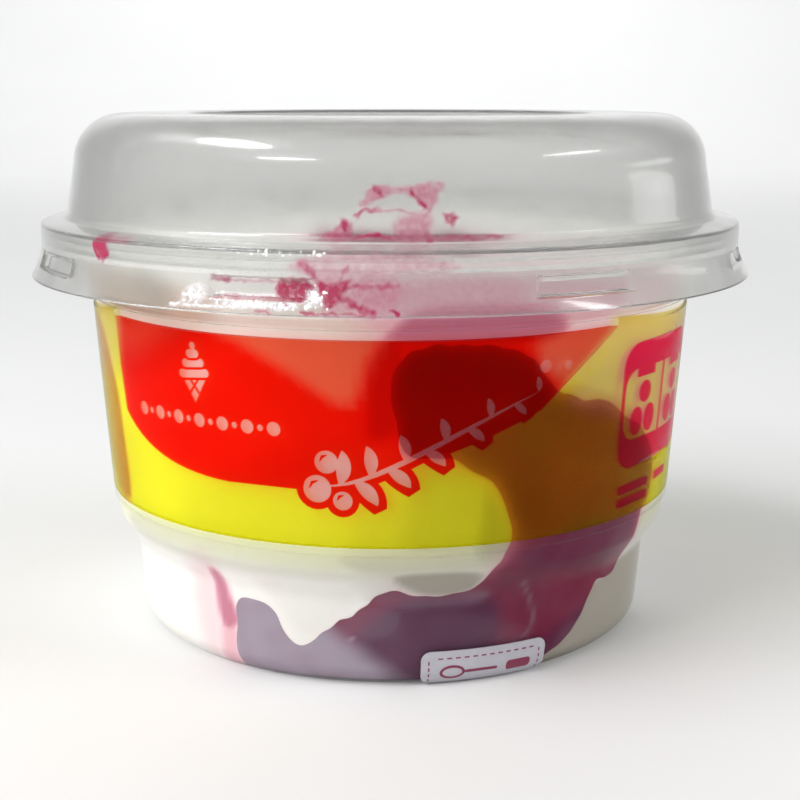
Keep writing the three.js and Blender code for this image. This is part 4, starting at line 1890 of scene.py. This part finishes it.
@dataclass
class Smears:
    """A thin layer on a wall of the lid, thick and thin by marks at angles and heights."""

    name: str
    marks: tuple[Mark, ...]
    radius_at: WallRule
    finish: SmearFinish
    slot: str = "sauce"
    ragged: float = 0.12
    ragged_length: float = 1.6
    outward: float = 0.57
    pitch: float = 0.15
    thickness: float = 0.09
    thinnest: float = 0.2  # share of the thickness at the smear's edge
    least: float = 0.03
    seed: int = 1

    def build(self, effects: SharedEffects) -> bpy.types.Object:
        """Makes the smears as one piece.

        Args:
            effects: The shared node groups.

        Returns:
            The finished piece.
        """
        spots = np.concatenate([np.array(mark.stops) for mark in self.marks])
        margin = max(mark.width + mark.soft for mark in self.marks)
        reach = math.radians(float(self.radius_at(np.radians(spots[:, 0]), spots[:, 1]).mean()))
        low, high = spots.min(0) * (reach, 1) - margin, spots.max(0) * (reach, 1) + margin
        counts = np.ceil((high - low) / self.pitch).astype(int)
        flat = grid_over(low, high, counts)
        sway = [ripple(flat, self.ragged_length, seed) for seed in (self.seed, self.seed + 1)]
        swayed = flat + self.ragged * np.stack(sway, 1)
        depth = marked(self.marks, swayed[:, 0] / reach, swayed[:, 1], reach)
        wide = counts[0] + 1
        first = (np.arange(counts[1])[:, None] * wide + np.arange(counts[0])).ravel()
        cells = np.stack([first, first + 1, first + wide + 1, first + wide], 1)
        cells = cells[depth[cells].max(1) > self.least]
        used = np.unique(cells)
        number = np.full(len(flat), -1)
        number[used] = np.arange(len(used))
        cells = number[cells]
        turns, heights = np.radians(flat[used, 0] / reach), flat[used, 1]
        near = self.radius_at(turns, heights) + self.outward
        far = near + math.copysign(self.thickness, self.outward) * (self.thinnest + depth[used])
        faces = doubled(cells, rim_of(cells.tolist()), len(used))
        points = np.concatenate([round_axis(near, turns, heights), round_axis(far, turns, heights)])
        values = {"depth": np.tile(depth[used], 2)}
        piece = Skin(points, faces, None, values).piece(self.name, [self.finish.material(effects)])
        settle(piece, self.slot)
        return piece


DOME_SMEARS = (
    Mark(
        ((-4.6, 61.0), (-3.9, 61.9), (-2.4, 63.0), (1.3, 63.1), (5.3, 63.4), (7.9, 63.4), (7.2, 62.3),
         (6.2, 60.4), (5.3, 59.7), (4.9, 60.8), (2.9, 62.0), (1.3, 62.2), (-0.9, 62.0), (-3.6, 60.9)),
        0.4, 0.5
    ),
    Mark(((-2.2, 62.8), (-1.5, 62.4)), 0.95, 0.7, 0.35),
    Mark(((1.2, 62.8), (1.5, 62.75)), 0.8, 0.4, 0.16),
    Mark(((4.7, 62.9), (4.9, 62.8)), 0.8, 0.4, 0.18),
    Mark(((2.8, 62.7), (3.3, 62.3), (4.2, 61.6), (5.0, 60.9)), 0.95, 0.6, 0.26),
    Mark(
        ((-5.0, 59.8), (-4.0, 60.4), (-3.2, 60.6), (-1.9, 60.5), (0.2, 60.4), (2.6, 60.3), (4.0, 59.8)),
        0.42, 0.4, 0.12
    ),
    Mark(((-4.9, 59.9), (-3.7, 60.5), (-1.9, 60.5)), 0.75, 0.35, 0.14),
    Mark(((0.9, 59.5), (0.8, 57.3), (5.2, 57.3), (5.8, 59.8), (4.4, 60.3), (2.0, 59.8)), 0.36, 1.0),
    Mark(((-9.9, 57.3), (-8.3, 58.3), (-7.0, 59.1), (-5.8, 58.9), (-5.9, 57.3)), 0.5, 0.8),
    Mark(((-6.8, 59.0), (-6.6, 58.4)), 1.0, 0.8, 0.4),
    Mark(((1.0, 57.3), (5.1, 57.3), (9.0, 57.35), (13.2, 57.35), (16, 57.4)), 0.6, 0.5, 0.2),
    Mark(((5.3, 57.2), (5.8, 57.2)), 1.0, 0.4, 0.2),
    Mark(((10.6, 57.25), (12.2, 57.3)), 0.85, 0.4, 0.15),
    Mark(((-5.3, 57.4), (-2.3, 57.75), (0.4, 57.35)), 0.95, 0.4, 0.2),
    Mark(((7.6, 60.1), (9.9, 59.8), (8.6, 58.8)), 0.75, 0.6),
)
FLANGE_SMEARS = (
    Mark(((-47.7, 56.15), (-44.6, 56.15), (-44.0, 54.2), (-46.8, 54.0)), 1.0, 0.5),
    Mark(((-45.4, 54.0), (-45.3, 53.6)), 0.6, 0.4, 0.16),
    Mark(((-46.0, 56.05), (-43.4, 56.1), (-41.0, 56.1)), 0.5, 0.4, 0.12),
    Mark(((-12, 55.4), (-4, 55.9), (4, 55.6), (9, 54.6), (4, 53.9), (-12, 53.9)), 0.24, 1.2),
)
SKIRT_SMEARS = (
    Mark(((-24.9, 52.9), (-23.6, 52.85), (-22.4, 52.8)), 0.8, 0.6, 0.25),
    Mark(((-21.5, 52.7), (-18.0, 52.75), (-15.0, 52.8)), 0.42, 0.5, 0.14),
    Mark(((-15.0, 53.0), (-11.0, 53.0), (-10.8, 51.0), (-14.9, 51.0)), 0.95, 0.6),
    Mark(((-14.3, 50.4), (-13.2, 50.2)), 0.8, 0.4, 0.2),
    Mark(((-11.8, 54.9), (-10.6, 54.0), (-9.8, 53.1), (-8.9, 52.4)), 0.7, 0.9, 0.34),
    Mark(
        ((-9.5, 52.8), (-7.4, 52.8), (-5.2, 52.8), (-6.4, 51.3), (-7.4, 50.2), (-8.6, 50.2), (-9.2, 51.5)),
        1.0, 0.9
    ),
    Mark(((-7.0, 52.5), (-5.1, 52.45), (-2.8, 52.4), (0.8, 52.42)), 0.8, 0.9, 0.28),
    Mark(((-7.0, 51.2), (-5.2, 50.8), (-4.2, 50.3), (-3.2, 49.9), (-2.2, 49.6)), 0.85, 0.8, 0.36),
    Mark(((-11.5, 49.5), (-7.8, 49.5), (-2.0, 49.5)), 0.75, 0.3, 0.14),
    Mark(((-17.6, 49.5), (-15.6, 49.5)), 0.7, 0.3, 0.1),
    Mark(((-5.6, 54.6), (-6.2, 53.6), (-7.2, 52.8)), 0.55, 0.6, 0.18),
    Mark(
        ((-10, 53.6), (-5.8, 53.8), (0.5, 53.4), (1.6, 51.5), (0.3, 50), (-2.8, 49.6), (-8, 49.6), (-9, 51)),
        0.3, 2.2
    ),
    Mark(((-6, 53.2), (8, 53.4), (17, 52.6), (17, 50.2), (8, 49.7), (-4, 49.8)), 0.12, 3.0),
    Mark(((0.0, 49.9), (1.1, 49.6)), 1.0, 0.3, 0.2),
    Mark(((1.8, 50.0), (22.0, 50.0)), 0.22, 0.9, 0.3),
    Mark(((-23.6, 50.95), (-19.9, 50.9), (-15.0, 51.0)), 0.35, 0.3, 0.14),
)
# White ice on the lid's skirt, and painted highlights: thin white lines along the skirt's foot, under the lug
# and at the flange's foot.
CRUST_AND_GLINTS = (
    Mark(((-29, 50.2), (-28.2, 51.7), (-26.4, 52.2), (-25.2, 51.6), (-25.4, 50.6), (-27, 50)), 0.55, 1.1),
    # Painted highlight along the skirt's foot.
    Mark(((-30.5, 49.8), (-24.0, 49.85), (-20.0, 50.0), (-16.0, 50.1), (-12.0, 50.2)), 0.9, 0.4, 0.14),
    # Painted highlight along the skirt just above its foot.
    Mark(((-24.6, 50.7), (-22.1, 50.65), (-18.7, 50.6), (-17.0, 50.4)), 0.9, 0.25, 0.1),
    Mark(((-21.5, 50.2), (-17.5, 50.35), (-14.4, 50.15), (-12.5, 50.3)), 0.8, 0.7, 0.3),
    Mark(((-11.3, 51.0), (-10.8, 51.9), (-9.7, 51.5), (-9.0, 50.7), (-10.2, 50.3)), 0.8, 0.8),
    # Painted highlights under the lug and at the flange's foot.
    Mark(((-23.8, 51.3), (-14.8, 51.25)), 0.8, 0.16, 0.07),
    Mark(((-44.0, 53.7), (-30.0, 53.6), (-20.0, 53.6), (-12.5, 53.7)), 0.24, 0.5, 0.1),
)


@dataclass(frozen=True)
class FrostBeads:
    """Beads of ice along the lid's skirt, thickest under and beside one of its lugs."""

    lid: DomeLid
    clusters: tuple[tuple[float, float, float, float, int], ...] = (  # angle, height, half sizes, count
        (-16.5, 50.2, 5.5, 0.3, 90),
        (-10.0, 51.2, 1.0, 0.7, 40),
        (-27.4, 50.9, 1.2, 0.5, 16),
        (-14.0, 55.9, 7.0, 0.15, 16),
    )
    sizes: tuple[float, float] = (0.1, 0.32)
    shrink: tuple[float, float] = (0.6, 1.0)
    stretch: tuple[float, float] = (0.7, 1.3)
    spread: float = 1.6  # standard deviations in a cluster's half size
    above_edge: float = 0.5
    highest: float = 56.0
    sunk: float = 0.1  # share of a bead's size that is inside the wall
    rings: int = 4
    sides: int = 8
    seed: int = 5

    def ball(self) -> tuple[np.ndarray, list[tuple[int, ...]]]:
        """The points and faces of a ball of radius 1.

        Returns:
            Its points, and its faces' corners.
        """
        tilts = np.linspace(0, math.pi, self.rings + 2)[1:-1]
        spins = np.linspace(0, 2 * math.pi, self.sides, endpoint=False)
        points = [(0.0, 0.0, 1.0)]
        for tilt in tilts:
            wide, high = math.sin(tilt), math.cos(tilt)
            points += [(wide * math.cos(spin), wide * math.sin(spin), high) for spin in spins]
        points.append((0.0, 0.0, -1.0))
        n, last = self.sides, 1 + self.rings * self.sides
        faces = [(0, 1 + i, 1 + (i + 1) % n) for i in range(n)]
        for ring in range(self.rings - 1):
            base = 1 + ring * n
            faces += [(base + i, base + n + i, base + n + (i + 1) % n, base + (i + 1) % n) for i in range(n)]
        faces += [(last, last - n + (i + 1) % n, last - n + i) for i in range(n)]
        return np.array(points), faces

    def build(self, effects: SharedEffects) -> bpy.types.Object:
        """Makes the beads as one piece.

        Args:
            effects: The shared node groups.

        Returns:
            The finished piece.
        """
        draw = np.random.default_rng(self.seed)
        places = []
        for angle, height, wide, tall, count in self.clusters:
            angles = draw.normal(angle, wide / self.spread, count)
            places.append(np.stack([angles, draw.normal(height, tall / self.spread, count)], 1))
        places = np.concatenate(places)
        places[:, 1] = np.clip(places[:, 1], self.lid.skirt_height + self.above_edge, self.highest)
        ball, faces = self.ball()
        points, every = [], []
        for place in places:
            size = draw.uniform(*self.sizes) * draw.uniform(*self.shrink)
            turn, height = np.array(math.radians(place[0])), np.array(place[1])
            radius = self.lid.inner_radius_at(turn, height) + self.lid.wall - self.sunk * size
            centre = round_axis(radius, turn, height)
            stretch = draw.uniform(*self.stretch, 3) * size
            every += [tuple(len(points) * len(ball) + index for index in face) for face in faces]
            points.append(centre + ball * stretch)
        beads = Skin(np.concatenate(points), every).piece("frost_beads", [IceFinish().material(effects)])
        settle(beads, "clear_lid")
        return beads


# ---- stage --------------------------------------------------------------------------------------------


@dataclass(frozen=True)
class Lamp:
    """A softbox: where it stands, its size, its power, what it faces, and whether gloss mirrors it."""

    name: str
    place: tuple[float, float, float]
    width: float
    height: float
    power: float
    aim: tuple[float, float, float] = (0.0, 0.0, 0.035)
    mirrored: bool = True


@dataclass(frozen=True)
class Studio:
    """Pale floor that sweeps up behind, soft lamps, and the camera."""

    lamps: tuple[Lamp, ...] = (
        Lamp("key", (-0.42, -0.3, 0.5), 0.4, 0.4, 2.4, mirrored=False),
        Lamp("window", (-0.4228, -0.1054, 0.583), 0.36, 0.12, 1.5),
        Lamp("window_low", (-0.361, -0.471, 0.406), 0.24, 0.045, 0.4),
        Lamp("side", (-0.8, -0.5, 0.09), 0.8, 0.16, 3.4, mirrored=False),
        Lamp("right", (0.74, -0.16, 0.3), 0.5, 0.36, 2.9, mirrored=False),
        Lamp("front", (-0.1, -0.9, 0.06), 0.6, 0.1, 0.6, mirrored=False),
        Lamp("right_window", (0.557, -0.192, 0.433), 0.3, 0.035, 0.28),
        Lamp("right_glow", (0.8, 0.17, 0.156), 0.4, 0.09, 0.14),
        Lamp("backdrop", (0.0, 1.0, 1.3), 2.0, 0.6, 18.5, aim=(0.0, 1.9, 0.25), mirrored=False),
    )
    floor_colour: Colour = (0.8, 0.8, 0.795)
    world_colour: Colour = (0.95, 0.97, 1.0)
    world_strength: float = 0.28
    camera_place: tuple[float, float, float] = (0.0, -0.2078, 0.07363)
    camera_pitch: float = 12.0  # degrees down
    camera_yaw: float = 0.0065  # radians
    lens: float = 65.7
    floor_reach: float = 6.0
    sweep_radius: float = 0.8
    sweep_start: float = 1.2

    def floor(self, effects: SharedEffects) -> None:
        """Makes the floor, which sweeps up into a backdrop.

        Args:
            effects: The shared node groups.
        """
        turns = np.radians(np.linspace(0, 90, 25))
        curve = np.stack([self.sweep_start + self.sweep_radius * np.sin(turns),
                          self.sweep_radius * (1 - np.cos(turns))], 1)
        side = np.vstack([(-self.floor_reach, 0.0), curve, (curve[-1, 0], self.floor_reach)])
        xs = (-self.floor_reach, self.floor_reach)
        points = [(x, y, z) for y, z in side for x in xs]
        faces = [(2 * i, 2 * i + 1, 2 * i + 3, 2 * i + 2) for i in range(len(side) - 1)]
        mesh = bpy.data.meshes.new("floor")
        mesh.from_pydata(points, [], faces)
        mesh.shade_smooth()
        mesh.materials.append(FloorFinish("pale_floor", self.floor_colour).material(effects))
        floor = placed("floor", mesh)

    def light(self) -> None:
        """Makes the lamps and the soft light all round."""
        for lamp in self.lamps:
            data = bpy.data.lights.new(lamp.name, "AREA")
            data.shape = "ELLIPSE"
            data.size, data.size_y = lamp.width, lamp.height
            data.energy = lamp.power
            holder = placed(lamp.name, data)
            holder.location = lamp.place
            holder.visible_glossy = holder.visible_transmission = lamp.mirrored
            towards = Vector(lamp.aim) - Vector(lamp.place)
            holder.rotation_euler = towards.to_track_quat("-Z", "Y").to_euler()
        world = bpy.data.worlds.new("studio")
        bpy.context.scene.world = world
        world.use_nodes = True
        background = world.node_tree.nodes["Background"]
        background.inputs[0].default_value = (*self.world_colour, 1)
        background.inputs[1].default_value = self.world_strength

    def camera(self) -> None:
        """Makes the camera."""
        data = bpy.data.cameras.new("camera")
        data.lens = self.lens
        data.clip_start = 0.01
        camera = placed("camera", data)
        camera.location = self.camera_place
        camera.rotation_euler = (math.radians(90 - self.camera_pitch), 0, -self.camera_yaw)
        bpy.context.scene.camera = camera

    @staticmethod
    def tune() -> None:
        """Sets what the renderer needs for clear shells inside each other."""
        scene = bpy.context.scene
        scene.view_settings.view_transform = "Standard"
        scene.cycles.use_denoising = True
        scene.cycles.max_bounces = 18
        scene.cycles.transmission_bounces = 14
        scene.cycles.transparent_max_bounces = 24
        scene.cycles.caustics_reflective = False
        scene.cycles.caustics_refractive = False


def main() -> None:
    """Builds every piece in order, then the stage."""
    logging.basicConfig(level=logging.INFO, format="%(message)s")
    effects = SharedEffects()
    cup, lid = CupShell(), DomeLid()
    cup.build(effects)
    lid.build(effects)
    LabelFilm(cup).build(effects)
    SpoonSticker(cup).build(effects)
    MarbledFood(cup, Filling(cup)).build(effects)
    wall = lid.inner_radius_at
    pink = SmearFinish("pink_smear", thick=(0.38, 0.026, 0.085), thin=(0.55, 0.11, 0.23))
    Smears("dome_smears", DOME_SMEARS, wall, pink).build(effects)
    Smears("flange_smears", FLANGE_SMEARS, wall, pink).build(effects)
    Smears("skirt_smears", SKIRT_SMEARS, wall, pink).build(effects)
    # White ice, and painted highlights in thin white lines.
    ice = SmearFinish(
        "ice_crust_and_glints", thick=(0.9, 0.9, 0.92), thin=(0.8, 0.8, 0.83), grain=2200.0, sparse=0.05, cover=0.85
    )
    Smears("ice_crust_and_glints", CRUST_AND_GLINTS, wall, ice, slot="clear_lid", ragged=0.05, outward=0.66).build(effects)
    FrostBeads(lid).build(effects)
    studio = Studio()
    studio.floor(effects)
    studio.light()
    studio.camera()
    studio.tune()


if __name__ == "__main__":
    main()
